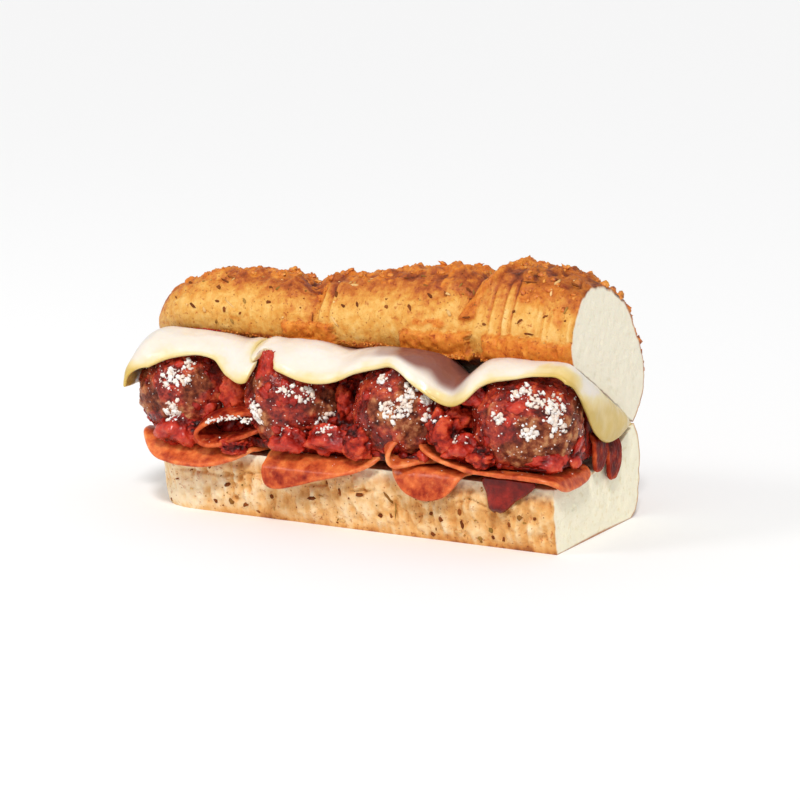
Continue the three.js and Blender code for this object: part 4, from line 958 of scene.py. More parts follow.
def ball_grains(index, d):
    """Height of the minced grain: crumbly lumps of about two millimetres with finer ones on them."""
    dx, dy, dz = np.moveaxis(d, -1, 0)
    warp = 0.35 * noise(dx * 5, dy * 5 + index, dz * 5)
    grains, value = cells(dx * 4.6 + index * 5 + warp, dy * 4.6, dz * 4.6 + warp)
    lumps = (0.3 + 0.5 * value) * ease(0.9, 0.1, grains)
    return 0.15 + lumps + 0.42 * rough(dx * 6.5 + index * 3, dy * 6.5, dz * 6.5, 4, 0.62)


def ball_skin(index, theta, phi):
    """Meatball point: a ball pushed by noise on its direction, flat where it meets bread and bed."""
    d = directions(theta, phi)
    dx, dy, dz = np.moveaxis(d, -1, 0)
    r = 1 + 0.045 * noise(dx * 1.7 + index * 9, dy * 1.7, dz * 1.7)
    r = r + 0.03 * noise(dx * 4 + index * 7, dy * 4, dz * 4 + 3)
    wet = wetness(index, d)
    r = r + mix(0.05, 0.034, wet) * (ball_grains(index, d) - 0.45)
    r = r + wet * 0.03 * (0.4 + noise(dx * 4 + 2, dy * 4, dz * 4 + index))
    point = np.array([BALL_X[index], BALL_Y, BALL_Z]) + d * BALL_R * r[..., None]
    roof = HINGE_Z + math.tan(TOP_TILT) * (HINGE_Y - point[..., 1]) - BALL_ROOM
    point[..., 2] = np.clip(point[..., 2], BALL_FLOOR[index], roof)
    return point


def wetness(index, d):
    """Sauce cover on a ball: full but for the bare spots, with a ragged edge."""
    cover = 0.85 + 0.9 * rough(d[..., 0] * 3 + index * 4, d[..., 1] * 3, d[..., 2] * 3 + 1, 3, 0.65)
    for theta, phi, wide in BARE_MEAT[index]:
        middle = directions(math.radians(theta), math.radians(phi))
        angle = np.degrees(np.arccos(np.clip(d @ middle, -1, 1)))
        cover = cover - 1.9 * np.exp(-((angle / wide) ** 2))
    return mix(0.1, 1, ease(-0.5, 0.5, cover))


def meatball(index, material):
    """Ball grid of bands and azimuths with its poles closed."""
    theta, phi = sphere_grid(*BALL_GRID)
    rings = ball_skin(index, theta, phi)
    poles = [ball_skin(index, np.array(a), np.array(0.0)) for a in (0.0, math.pi)]
    d = directions(theta, phi)
    # The grain's height, kept for painted shade and highlight on the meat
    masks = {"wet": wetness(index, d), "tone_and_shade": np.clip(ball_grains(index, d), 0, 1)}
    return lofted(f"meatball_{index + 1}_minced", rings, poles, material,
                  [f"meatball_{index + 1}"], masks)


# Cheese
def cheese_radius(x, angle):
    """Distance of the cheese from its axis: a round front with sags between the balls and slight
    unevenness, held under the plane of the upper bread."""
    r = CHEESE_R_FRONT
    sagging = ease(math.radians(-5), math.radians(50), angle)
    for middle, depth, width in CHEESE_SAGS:
        r = r - depth * np.exp(-(((x - middle) / width) ** 2)) * sagging
    r = r + 0.25 * noise(x / 9, angle * 2, 4.4)
    tilt = math.tan(TOP_TILT)
    reach = HINGE_Z + tilt * (HINGE_Y - CHEESE_AXIS_Y) - CHEESE_ROOM - CHEESE_AXIS_Z
    slope = np.sin(angle) - tilt * np.cos(angle)
    return np.where(slope > 0.3, np.minimum(r, reach / np.maximum(slope, 0.3)), r)


def cheese_polar(x, angle):
    """Y and Z of the cheese at an angle up from its axis towards the front."""
    r = cheese_radius(x, angle)
    return CHEESE_AXIS_Y - r * np.cos(angle), CHEESE_AXIS_Z + r * np.sin(angle)


def cheese_middle(x, t):
    """Middle of the cheese from the hinge side, flat under the bread, then round to its front edge."""
    start = CHEESE_START_ANGLE

    def plane(y):
        return HINGE_Z + math.tan(TOP_TILT) * (HINGE_Y - y) - CHEESE_ROOM

    y1, z1 = cheese_polar(x, start)
    back = np.clip(t / CHEESE_BACK_SHARE, 0, 1)
    y_back = mix(CHEESE_BACK_Y, y1, back)
    z_back = plane(y_back) - (plane(y1) - z1) * ease(0, 1, back)
    rise = (curve(CHEESE_EDGE, x) - CHEESE_AXIS_Z) / CHEESE_R_FRONT
    end = np.arcsin(np.clip(rise, -0.2, 0.98))
    share = np.clip((t - CHEESE_BACK_SHARE) / (1 - CHEESE_BACK_SHARE), 0, 1)
    y_front, z_front = cheese_polar(x, mix(start, end, share))
    behind = t < CHEESE_BACK_SHARE
    y, z = np.where(behind, y_back, y_front), np.where(behind, z_back, z_front)
    return np.stack(np.broadcast_arrays(x, y, z), -1)


def first_start(t):
    """The first slice begins straight, where it bends over the rounded end."""
    return np.full(t.shape, CHEESE_FROM)


def first_end(t):
    """The first slice's free end, slanting towards its front corner."""
    return mix(-22.6, -18.6, ease(0.6, 1, t))


def second_start(t):
    """The second slice's free end, its front corner turned back from the first slice."""
    return mix(-22.2, -12.2, ease(0.78, 1, t))


def second_end(t):
    """The second slice ends straight, where it bends over the cut end."""
    return np.full(t.shape, CHEESE_TO)


def cheese_over(t, place, sign, radii, edge, share):
    """Cheese past a loaf end: a quarter bend over a radius, then straight down to the flap's edge."""
    middle = cheese_middle(np.array(place), t)
    y, z = middle[..., 1], middle[..., 2]
    radius = mix(radii[1], radii[0], ease(-34, -22, y))
    drop = np.maximum(z - curve(edge, y), 0.4)
    quarter = radius * math.pi / 2
    bend = radius * np.arccos(np.clip(1 - drop / radius, -1, 1))
    reach = np.where(drop > radius, quarter + drop - radius, bend)
    e = reach * share
    turned = np.minimum(e / radius, math.pi / 2)
    hang = np.maximum(e - quarter, 0)
    x = place + sign * radius * np.sin(turned)
    return np.stack([x, y, z - radius * (1 - np.cos(turned)) - hang], -1)


def cheese_masks(x, y, z, rim):
    """Where the cheese is thin and oily: at its rim, low in front, at the corners and down the flap.
    Painted shade with some juice stain: in the sag under the upper bread and along that bread's edge."""
    low = ease(49, 40, z) * ease(-26, -33, y)
    thin = 0.28 * ease(1.6, 0.1, rim) + 0.22 * ease(8, 1, rim) + 0.3 * low
    thin = thin + 0.5 * ease(66, 78, x) * ease(-16, -30, y)
    thin = thin + 0.5 * ease(-56, -66, x) * ease(47, 40, z)
    thin = thin + 0.75 * ease(68, 74, x) * ease(47, 38, z)
    blotch = 2 * noise(x / 4, y / 4, 71.0)
    # Painted shade in the sag's recess under the upper bread, blotched like juice
    stain_and_shade = 0.62 * band(15, 50, 5, x + blotch) * ease(4, 9, rim + 0.5 * blotch)
    past_edge = y - top_scaled(x, TOP_FRONT_U, 0.0)[..., 1]
    # Painted shadow in a band just past the upper bread's front edge
    stain_and_shade = stain_and_shade + 0.75 * ease(-6.5, -2.0, past_edge) * band(-66, 66, 8, x)
    # More painted shade deeper in the recess
    stain_and_shade = stain_and_shade + 0.55 * band(24, 50, 4, x) * ease(6, 12, rim + 0.5 * blotch)
    return {"thin": thin, "stain_and_shade": np.minimum(stain_and_shade, 0.95) * ease(3, 6, rim) * ease(2, 0, past_edge)}


def cheese_slice(name, node, steps, start, end, over, material):
    """Sheet from one end to the other along the loaf, with its drape past one of the ends. It is
    thinner near its rim, which is rounded."""
    t = spaced(110, 0.6)
    flat = np.linspace(0, 1, steps)[:, None]
    grid = cheese_middle(mix(start(t)[None], end(t)[None], flat), t[None])
    drape = np.stack([cheese_over(t, share=share, **over) for share in np.linspace(0, 1, 46)[1:]])
    middle = np.concatenate([drape[::-1], grid] if over["sign"] < 0 else [grid, drape])
    x, y, z = np.moveaxis(middle, -1, 0)
    middle = middle + (0.3 * rough(x / 7, y / 7, z / 7, 2))[..., None] * grid_normals(middle)
    rim = rim_distance(middle)
    half = mix(0.5, CHEESE_THICK / 2, ease(0, 3.5, rim)) + 0.12 * noise(x / 5, y / 5, z / 5)
    masks = cheese_masks(x, y, z, rim)
    return sheet(name, middle, edge_round(rim, half), material, [node], masks)


def rim_distance(middle):
    """Length along the grid lines from each point to the nearest border of the grid."""
    across = np.linalg.norm(np.diff(middle, axis=1), axis=-1)
    down = np.linalg.norm(np.diff(middle, axis=0), axis=-1)
    columns = np.concatenate([np.zeros((len(middle), 1)), np.cumsum(across, 1)], 1)
    rows = np.concatenate([np.zeros((1, middle.shape[1])), np.cumsum(down, 0)])
    sides = np.minimum(columns, columns[:, -1:] - columns)
    return np.minimum(sides, np.minimum(rows, rows[-1:] - rows))


# Pepperoni
def draped_slice(middle, half, slope, radius, waves, skew=0.0, hang_after=99.0):
    """Slice lying on the lower bread that bends down over its front edge: an arc of a radius to a
    slope, then straight, then steeply down past a length; waves lift its front at places."""
    def bend(a, b):
        x = middle[0] + half[0] * a
        y = middle[1] + half[1] * b + skew * (x - middle[0])
        z = np.maximum(BED_Z, bed_height(y) + SLICE_LIFT)
        over = np.maximum(FOLD_Y - y, 0)
        limit = math.radians(slope)
        turned = np.minimum(over / radius, limit)
        rest = np.clip(over - radius * limit, 0, hang_after)
        hang = np.maximum(over - radius * limit - hang_after, 0)
        folded = FOLD_Y - radius * np.sin(turned) - math.cos(limit) * rest - 0.1 * hang
        y = np.where(over > 0, folded, y)
        z = z - radius * (1 - np.cos(turned)) - math.sin(limit) * rest - 0.99 * hang
        for at, height, width in waves:
            z = z + height * np.exp(-(((x - at) / width) ** 2)) * ease(-12, -30, y)
        return np.stack(np.broadcast_arrays(x, y, z), -1)
    return bend


def bent_slice(path, middle_y, half_y, droop=0.0, yaw=0.0, pivot=(0.0, 0.0)):
    """Slice bent along a path in X and Z and turned about a pivot, its rim reaching forward and
    drooping over the edge by the square of how far it is past."""
    table = smooth_path(path, 500)

    def bend(a, b):
        x, z = along(table, (a + 1) / 2 * table[-1, 0])
        y = middle_y + half_y * b
        turn = math.radians(yaw)
        dx, dy = x - pivot[0], y - pivot[1]
        x = pivot[0] + dx * math.cos(turn) - dy * math.sin(turn)
        y = pivot[1] + dx * math.sin(turn) + dy * math.cos(turn)
        front = np.clip((FOLD_Y - y) / DROOP_OVER, 0, 2)
        return np.stack(np.broadcast_arrays(x, y, z - droop * front**2), -1)
    return bend


# Bend of each slice, the power of its outline and how dark it is
PEPPERONI = [
    (draped_slice((-40.4, -18.2), (22, 21), 42, 4, [(-62, 2.5, 5), (-27, 0.4, 5)]), 2.5, 0.0),
    (bent_slice([(-14.5, 29), (-23, 26.6), (-31.5, 25.1), (-36.2, 26.2), (-36.6, 29.4),
                 (-31, 32.6), (-22, 33.6), (-13.5, 31.8)], -25, 12.5, 1.8), 2.0, 0.8),
    (draped_slice((3.6, -18), (19.2, 20.8), 38, 2.6, [(26, 2.6, 10)], 0.28, 5), 7.0, 0.0),
    (draped_slice((37.6, -20), (13.4, 20), 78, 3, [(38, 0.2, 9)]), 2.2, 0.0),
    (bent_slice([(45, 23.6), (41, 23.5), (36, 23.5), (30.5, 23.9), (26.6, 25.2), (25.2, 28),
                 (27, 30.6), (32, 31.4), (36.5, 30.8)], -26, 9.5, 2.4, 34, (29, -32)), 2.0, 0.0),
    (bent_slice([(33, 29), (41.5, 25.8), (52, 23.5), (62, 23.1), (72, 22.9), (77.6, 21.6),
                 (79.4, 18.6)], -20.6, 14.2), 4.0, 0.3),
    (bent_slice([(69, 30), (74, 32), (77.6, 30), (78.2, 25), (77.6, 19.6)], -2.2, 4.6), 2.6, 1.2),
    (bent_slice([(66, 26), (72, 28), (77, 26.6), (78, 21), (77.6, 15.4)], 8, 5), 2.6, 1.2),
]


def slice_point(index, a, b):
    """Point of a slice's middle surface with a little waviness of the meat."""
    bend, _, _ = PEPPERONI[index]
    point = bend(a, b)
    wave = 0.16 * noise(point[..., 0] / 4, point[..., 1] / 4, index + 0.5)
    return point + np.stack([0 * wave, 0 * wave, wave], -1)


def pepperoni(index, material):
    """Disc in rings from the middle of the upper face out to the rim and back beneath."""
    bend, power, dark = PEPPERONI[index]
    rings, around = SLICE_GRID
    angle = np.linspace(0, 2 * math.pi, around, endpoint=False)[None]
    c, s = np.cos(angle), np.sin(angle)
    reach = (np.abs(c) ** power + np.abs(s) ** power) ** (-1 / power)
    reach = reach * (1 + 0.012 * noise(3 * c + index, 3 * s, 1.0))
    r = np.sin(np.linspace(0, math.pi / 2, rings + 1)[1:])[:, None]
    a, b = r * reach * c, r * reach * s
    a, b = np.clip(a, -1, 1), np.clip(b, -1, 1)
    e = 0.01
    du = slice_point(index, np.clip(a + e, -1, 1), b) - slice_point(index, np.clip(a - e, -1, 1), b)
    dv = slice_point(index, a, b + e) - slice_point(index, a, b - e)
    out = unit(np.cross(du, dv))
    middle = slice_point(index, a, b)
    centre = slice_point(index, np.array(0.0), np.array(0.0))
    size = np.linalg.norm(middle[-1] - centre, axis=-1)
    rim = (1 - r) * size[None]
    half = edge_round(rim, PEPPERONI_THICK / 2)
    x, y, z = np.moveaxis(middle, -1, 0)
    relief = 0.09 * rough(x / 1.8, y / 1.8, z / 1.8, 2, 0.6) * (half > 0.3)
    upper = middle + out * (half + relief)[..., None]
    lower = middle - out * (half + relief)[..., None]
    points = np.concatenate([upper, lower[-2::-1]])
    poles = [centre + out[0, 0] * PEPPERONI_THICK / 2, centre - out[0, 0] * PEPPERONI_THICK / 2]
    # Rim share for the painted glow of the thin edge
    edge = ease(1.8, 0.3, rim) * mix(0.6, 1, ease(-0.5, 0.5, noise(x / 3, y / 3, z / 3)))
    # Painted shade on the parts of the first five slices that hang below 20 mm
    dark = dark + 0.6 * ease(20, 15, points[..., 2]) * (index < 5)
    masks = {"dark": dark, "rim": np.concatenate([edge, edge[-2::-1]])}
    return lofted(f"pepperoni_{index + 1}_slice", points, poles, material,
                  [f"pepperoni_{index + 1}"], masks)


# Sauce
SAUCE_FROM = -59.0
SAUCE_TO = 77.0
SAUCE_BACK_Y = 19.0
SAUCE_FRONT_Y = -31.6
SAUCE_ROOM = 3.6
SAUCE_TIP_X = -59.6
SAUCE_END_X = 77.6
SAUCE_MID_Z = 25.0
SAUCE_LOW_Z = 22.5
SAUCE_LOW_END_Z = 24.5
SAUCE_POLE = (-8.0, 25.6)
# Stations, points over the roof and points back along the bed
SAUCE_GRID = (380, 220, 40)
# Turn of the cubes of tomato, so that their corners show
CUBE_TURN = np.array([[0.8, 0.6, 0.0], [-0.48, 0.64, 0.6], [0.36, -0.48, 0.8]])
# Bands from pole to pole of a chunk and points round each
CHUNK_GRID = (60, 84)
# Chunks in the sauce: middle, half sizes, and whether it is tomato
CHUNKS = [
    ((-46, -33, 26.4), (6, 4.6, 5.4), True),
    ((-40, -31, 25.6), (4, 4, 3.6), False),
    ((-26.5, -32, 22.6), (4.6, 4.6, 2.8), False),
    ((-30, -25, 36), (5, 6, 7), False),
    ((-7.4, -32.6, 26.2), (5.2, 4.5, 3.8), True),
    ((5.4, -32.4, 27.6), (6, 3.6, 3.8), True),
    ((15.5, -32.4, 28), (5, 4.2, 5), False),
    ((7.6, -21.5, 37), (4.4, 6, 7), False),
    ((43, -31, 33), (5.4, 5, 5.6), False),
    ((49, -31, 29.4), (5.4, 5, 4), True),
    ((55.5, -32.4, 27.6), (4.4, 3.6, 3.6), False),
    ((44.5, -26, 36), (5, 6, 5), False),
    ((72, -26, 27.4), (5, 5, 3.6), True),
    ((75.5, -16, 27), (3, 4, 3.6), True),
    ((-15.4, -29.4, 46.6), (3.4, 3.4, 4.8), True),
    ((51.5, -29.5, 44), (3.4, 3, 3), True),
]
# Pattern of each chunk's lumps
CHUNK_SEEDS = [n * 3.7 for n in range(14)] + [5.0, 15.0]
# Height of the drip's levels, place along the loaf and half width
DRIP = [(21.6, 63, 8.2), (20.2, 62.8, 8.3), (18, 61.9, 6.6), (15.6, 60.6, 4.4), (13.4, 59.8, 3.1),
        (12.2, 59.5, 2), (11.7, 59.4, 0.9)]
DRIP_BACK_Y = -30.0
DRIP_POLES = [(63.0, -31.0, 21.8), (59.4, -30.6, 11.6)]


def ball_gap(x):
    """Distance along the loaf to the middle of the nearest ball."""
    return np.min(np.abs(np.asarray(x)[..., None] - np.array(BALL_X)), -1)


def sauce_roof(x, y):
    """Height of the sauce: low in front, rising between the balls, filling the wedge behind."""
    gap = ease(9, 17, ball_gap(x))
    front = mix(30, 44.5, gap * ease(-31, -26, y))
    hump = mix(front, 60, ease(-16, -4, y))
    wedge = HINGE_Z + math.tan(TOP_TILT) * (HINGE_Y - y) - SAUCE_ROOM
    dip = 9 * np.exp(-(((x - CHEESE_SAGS[2][0]) / 8.5) ** 2)) * (1 - ease(-6, 12, y))
    return np.minimum(hump, wedge) - dip + 0.9 * noise(x / 4.5, y / 4.5, 6.1) - 0.6


def sauce_scaled(x, y, z):
    """Section point of the sauce at a station, shrunk about its middle near both ends."""
    share = np.minimum(end_share(x - SAUCE_TIP_X, 10, 2.2), end_share(SAUCE_END_X - x, 4, 2.2))
    middle = (sauce_front(x) + SAUCE_BACK_Y) / 2
    x, y, z = np.broadcast_arrays(x, y, z)
    return np.stack([x, mix(middle, y, share), mix(SAUCE_MID_Z, z, share)], -1)


def sauce_front(x):
    """Front edge of the sauce: in front of the balls, set back between them, with slow waves."""
    return mix(SAUCE_FRONT_Y, -30, ease(6, 15, ball_gap(x))) + 0.8 * noise(x / 5, 1.5, 2.5)


def sauce_floor(x):
    """Height of the underside of the sauce, which rises where the last slice lies beneath it."""
    return mix(SAUCE_LOW_Z, SAUCE_LOW_END_Z, ease(30, 37, x))


def sauce_skin(x, t):
    """Point of the lumpy roof from front to back, and how far it stands out of the hollows."""
    y = mix(sauce_front(x), SAUCE_BACK_Y, t)
    z = mix(25.4, sauce_roof(x, y), ease(0, 0.16, t))
    distance, value = cells(x / 2.9, y / 2.9, z / 2.9)
    pulp = 1.5 * (0.3 + 0.7 * value) * ease(0.8, 0.1, distance)
    pulp = pulp + 0.4 * rough(x / 1.3, y / 1.3, z / 1.3, 3, 0.6)
    front = 1 - ease(0.05, 0.3, t)
    z_out = np.maximum(z + (pulp - 0.6) * mix(1, 0.45, front), sauce_floor(x) + 1)
    return sauce_scaled(x, y - (pulp - 0.5) * front, z_out), np.clip(pulp / 1.5, 0, 1)


def sauce(material):
    """Rings along the loaf: over the lumpy roof from front to back, then back along the bed."""
    count, roof_count, bed_count = SAUCE_GRID
    x = np.linspace(SAUCE_FROM, SAUCE_TO, count)[:, None]
    t = np.linspace(0, 1, roof_count)[None] ** 1.5
    roof, tone_and_shade = sauce_skin(x, t)
    y_bed = mix(SAUCE_BACK_Y, sauce_front(x) + 1.2, np.linspace(0, 1, bed_count)[None])
    bed = sauce_scaled(x, y_bed, np.maximum(sauce_floor(x), bed_height(y_bed) + 1.1))
    rings = np.concatenate([roof, bed], 1)
    # Pulp height for painted shade and highlight; a low fixed value on the bed beneath
    masks = {"tone_and_shade": np.concatenate([tone_and_shade, np.full(bed.shape[:2], 0.2)], 1)}
    poles = [(SAUCE_FROM, *SAUCE_POLE), (SAUCE_TO, *SAUCE_POLE)]
    return lofted("marinara_sauce", rings, poles, material, ["marinara"], masks)


def chunk_skin(index, theta, phi):
    """Lump pushed by noise on its direction, with pulpy grain on top; tomato is cut in cubes, so
    its section is squarer."""
    (middle, sizes, is_tomato), seed = CHUNKS[index], CHUNK_SEEDS[index]
    d = directions(theta, phi)
    dx, dy, dz = np.moveaxis(d, -1, 0)
    r = 1 + 0.28 * noise(dx * 1.6 + seed, dy * 1.6, dz * 1.6)
    grains, value = cells(dx * 2.6 + seed, dy * 2.6, dz * 2.6)
    r = r + (0.05 if is_tomato else 0.2) * (value * ease(0.8, 0.1, grains) - 0.3)
    r = r + 0.09 * rough(dx * 4.4 + seed, dy * 4.4, dz * 4.4, 3, 0.6)
    if is_tomato:
        turned = d @ CUBE_TURN
        r = r * 0.88 * np.sum(np.abs(turned) ** 5, -1) ** (-1 / 5)
    return np.array(middle) + d * np.array(sizes) * r[..., None]


def chunks(name, tomato, material):
    """All the lumps of one kind, each a ball grid, joined in one mesh."""
    bands, around = CHUNK_GRID
    theta, phi = sphere_grid(bands, around)
    quads, fans = loft_faces(bands - 1, around)
    points, all_quads, all_fans, values, start = [], [], [], [], 0
    for index, (middle, sizes, is_tomato) in enumerate(CHUNKS):
        if is_tomato != tomato:
            continue
        body = chunk_skin(index, theta, phi).reshape(-1, 3)
        ends = [chunk_skin(index, np.array(a), np.array(0.0)) for a in (0.0, math.pi)]
        body = np.concatenate([body, ends])
        points.append(body)
        # Lighter where a lump bulges, darker in its dents: painted shade and highlight on the lumps
        far = np.linalg.norm((body - middle) / sizes, axis=-1)
        values.append(ease(0.75, 1.25, far))
        all_quads.append(quads + start)
        all_fans.append(fans + start)
        start += len(body)
    faces = [np.concatenate(all_quads), np.concatenate(all_fans)]
    masks = {"tint" if tomato else "tone_and_shade": np.concatenate(values)}
    return new_piece(name, np.concatenate(points), faces, material, (), masks)


def drip(material):
    """Run of sauce down the front of the lower bread: half rounds that narrow to a drop."""
    levels = np.array(DRIP, float)
    at = np.linspace(0, len(DRIP) - 1, 60)
    z, x, half = (curve(list(enumerate(column)), at)[:, None] for column in levels.T)
    angle = np.linspace(0, 2 * math.pi, 60, endpoint=False)[None]
    half = half + 0.3 * noise(z / 2.2, np.sign(np.cos(angle)) * 4.0, 2.0)
    front = np.minimum(0, np.sin(angle)) * np.minimum(1, half / 3)
    y = DRIP_BACK_Y + 2.3 * front
    side = np.cos(angle)
    rings = np.stack(np.broadcast_arrays(x + half * side, y, z - 0.5 * np.abs(side)), -1)
    masks = {"tone_and_shade": 0.5 + 0.16 * noise(x / 3, z / 3, 5.0) + 0 * front}
    return lofted("sauce_drip", rings, DRIP_POLES, material, ["marinara_drip"], masks)


# Toppings
# Grated cheese clusters on each ball: polar angle, azimuth in degrees, half-width in millimetres
CRUMBS = [
    [(53, -66, 1.6), (74, -87, 2.5), (65, -81, 1.9), (71, -63, 1.4), (106, -78, 2.4), (101, -14, 2)],
    [(71, -75, 1.4), (74, -52, 2.4), (92, -117, 1.7), (103, -108, 1.6), (103, -28, 2.2)],
    [(59, -59, 1.8), (71, -67, 2.8), (79, -73, 2.2), (68, -42, 1.8), (86, -37, 1.6), (46, -103, 1.5),
     (76, -85, 2)],
    [(46, -75, 1.9), (49, -87, 1.4), (54, -56, 2.5), (62, -35, 2.7), (74, -36, 2.3),
     (83, -34, 2.3), (88, -63, 1.9), (78, -96, 1.6)],
]
# Herb bits: place along the loaf and round the section, turn in degrees, half length, tint
HERBS_TOP = [
    (-54.3, 22.5, 20, 1.2, 0.1), (-41, 21, 15, 2, 0.1), (-39, 22.2, 20, 1.6, 0.3),
    (-42.3, 18.2, 40, 1, 0.2), (-49.7, 10.7, 30, 1.2, 0), (-41.3, 12.7, 0, 0.7, 0.1),
    (-36.4, 11.5, 35, 1.9, 0.9), (-31.9, 13.1, 40, 1.3, 0.6), (-38.5, 9.5, 90, 0.8, 0.2),
    (-24.5, 19.1, 0, 0.9, 0.1), (-22.1, 19.1, 20, 1.2, 0.5), (-23.5, 13.5, 0, 0.8, 0.1),
    (-36, 5.7, 50, 0.9, 0.6), (-41.5, 5.3, 90, 0.6, 0.4), (-32.9, 8.8, 0, 0.6, 0.2),
    (-9.1, 9, 90, 1.3, 0.2), (-1.8, 17.6, 60, 1, 0.1), (1.5, 13.8, 30, 0.8, 0), (5.8, 14.6, 60, 0.9, 0),
    (2.5, 21.8, 0, 1.2, 0.9), (-0.8, 8.8, 50, 1.8, 0.95), (15.6, 13.9, 20, 0.8, 0.3),
    (-19.3, 33, 0, 1.2, 0.1), (-45.4, 9.2, 60, 0.8, 0.9), (18.4, 24, 0, 1.3, 0.1),
    (25.8, 21.4, 15, 1.4, 0.35), (28.8, 17.6, 20, 1.2, 0), (33.4, 18.5, 45, 1.2, 0.3),
    (39.3, 21.5, 40, 1.2, 0.1), (40.6, 18.6, 0, 0.7, 0.1), (23.5, 13.5, 70, 1.2, 0.15),
    (36.4, 12.7, 60, 1.1, 0.9), (42.3, 11.9, -10, 1.5, 0.1), (47.9, 10.3, 0, 0.6, 0.2),
    (59.1, 11.7, -50, 1.2, 0.1), (66.5, 13.8, -30, 1.2, 0.2), (59.2, 22.6, 10, 2, 0.15),
    (56.6, 14.1, 0, 0.6, 0.1), (72.5, 17, 80, 1.3, 0.6), (66.8, 24.6, -30, 1.2, 0.9),
    (66.3, 21, 85, 1.6, 1), (62.2, 8.7, 0, 1.6, 0.05),
]
HERBS_LOW = [
    (-31.9, 9.6, 0, 1.1, 0.1), (-36.3, 3.8, 90, 0.9, 0.1), (-31.1, 4.4, 60, 0.9, 0.4),
    (-25.9, 3.9, -20, 0.9, 0.2), (-2.2, 8.9, 0, 1.1, 0.1), (7.5, 11.5, 100, 2.1, 0.25),
    (14, 11.6, 0, 1.1, 0.1), (23.3, 11.7, 55, 2, 0.4), (24.7, 9.2, 80, 2.4, 0.55),
    (19.7, 5.6, 0, 0.6, 0), (-16.6, 7.6, 90, 0.6, 0.1), (6, 2.4, 5, 1.5, 0.9),
    (2.2, 13.8, -50, 1.6, 0.3), (46.6, 6.1, 80, 1.4, 0), (40.4, 7.2, 80, 1, 0.15),
    (36.9, 8.4, 0, 0.9, 0.1), (62.5, 8.1, 80, 0.8, 0.3), (56.5, 3.2, 0, 0.7, 0), (59.6, 3, 0, 0.6, 0.1),
    (70, 10.8, 0, 0.5, 0.1), (55.7, 5.2, 60, 0.8, 0.5), (46.2, 9.9, 90, 1.2, 0.3),
    (65.9, 10.8, 40, 0.8, 0.4), (52.2, 2.4, 50, 0.8, 0.6), (45.5, 3.8, -5, 1.6, 0.9),
    (36.9, 1.9, 70, 0.7, 0.1),
]
# Chunks that carry grated cheese, and how many crumbs
CHUNK_CRUMBS = [(0, 26), (4, 9), (5, 16), (8, 8), (9, 10), (12, 12)]


def skin_frame(skin, x, s):
    """Point and outward normal of a skin at stations and lengths, from short steps on it."""
    step = 0.4
    middle = skin(x, s)
    ahead = skin(x + step, s) - skin(x - step, s)
    out = unit(np.cross(ahead, skin(x, s + step) - skin(x, s - step)))
    away = out[:, 1] * middle[:, 1] + out[:, 2] * (middle[:, 2] - 30)
    return middle, np.where(away[:, None] < 0, -out, out)


def picked(n, low, high, seed, kind, power=1.0):
    """A value from low to high for each lump, nearer to low as the power grows."""
    return mix(low, high, hashed(n, seed, kind) ** power)


def scattered(count, ranges, seed):
    """Stations, lengths round the section, turns and growths of lumps strewn evenly over a range."""
    n = np.arange(count, dtype=float)
    x = picked(n, *ranges[:2], seed, 1.0)
    s = picked(n, *ranges[2:], seed, 2.0)
    return x, s, picked(n, 0, math.pi, seed, 3.0), picked(n, 0.65, 1.35, seed, 4.0)


def strewn_on_ball(count, heights, azimuths, seed, sizes):
    """Polar angles, azimuths and half sizes of lumps strewn evenly over a zone of a ball."""
    n = np.arange(count, dtype=float)
    theta = np.arccos(picked(n, *heights, seed, 1.0))
    phi = np.radians(picked(n, *azimuths, seed, 2.0))
    return theta, phi, picked(n, *sizes, seed + 1, 3.0, 2)


def upward(count):
    """The direction up, once for each lump."""
    return np.tile([[0.0, 0.0, 1.0]], (count, 1))


def lumps_on(name, parts, longer, flatter, seed, slot, material, bands, around, crag):
    """Lumps from sets of points, outward directions and half sizes: each is longer one way,
    flatter outwards and turned in its surface by values of its own."""
    middles, outs, sizes = (np.concatenate(column) for column in zip(*parts))
    n = np.arange(len(sizes), dtype=float)
    shape = [picked(n, *longer, 2.0, seed), np.ones(len(n)), picked(n, *flatter, 3.0, seed + 1)]
    shape = sizes[:, None] * np.stack(shape, -1)
    frames = frames_on(outs, picked(n, 0, math.pi, 4.0, seed + 2))
    return many(name, middles, frames, shape, slot, material, bands, around, crag)


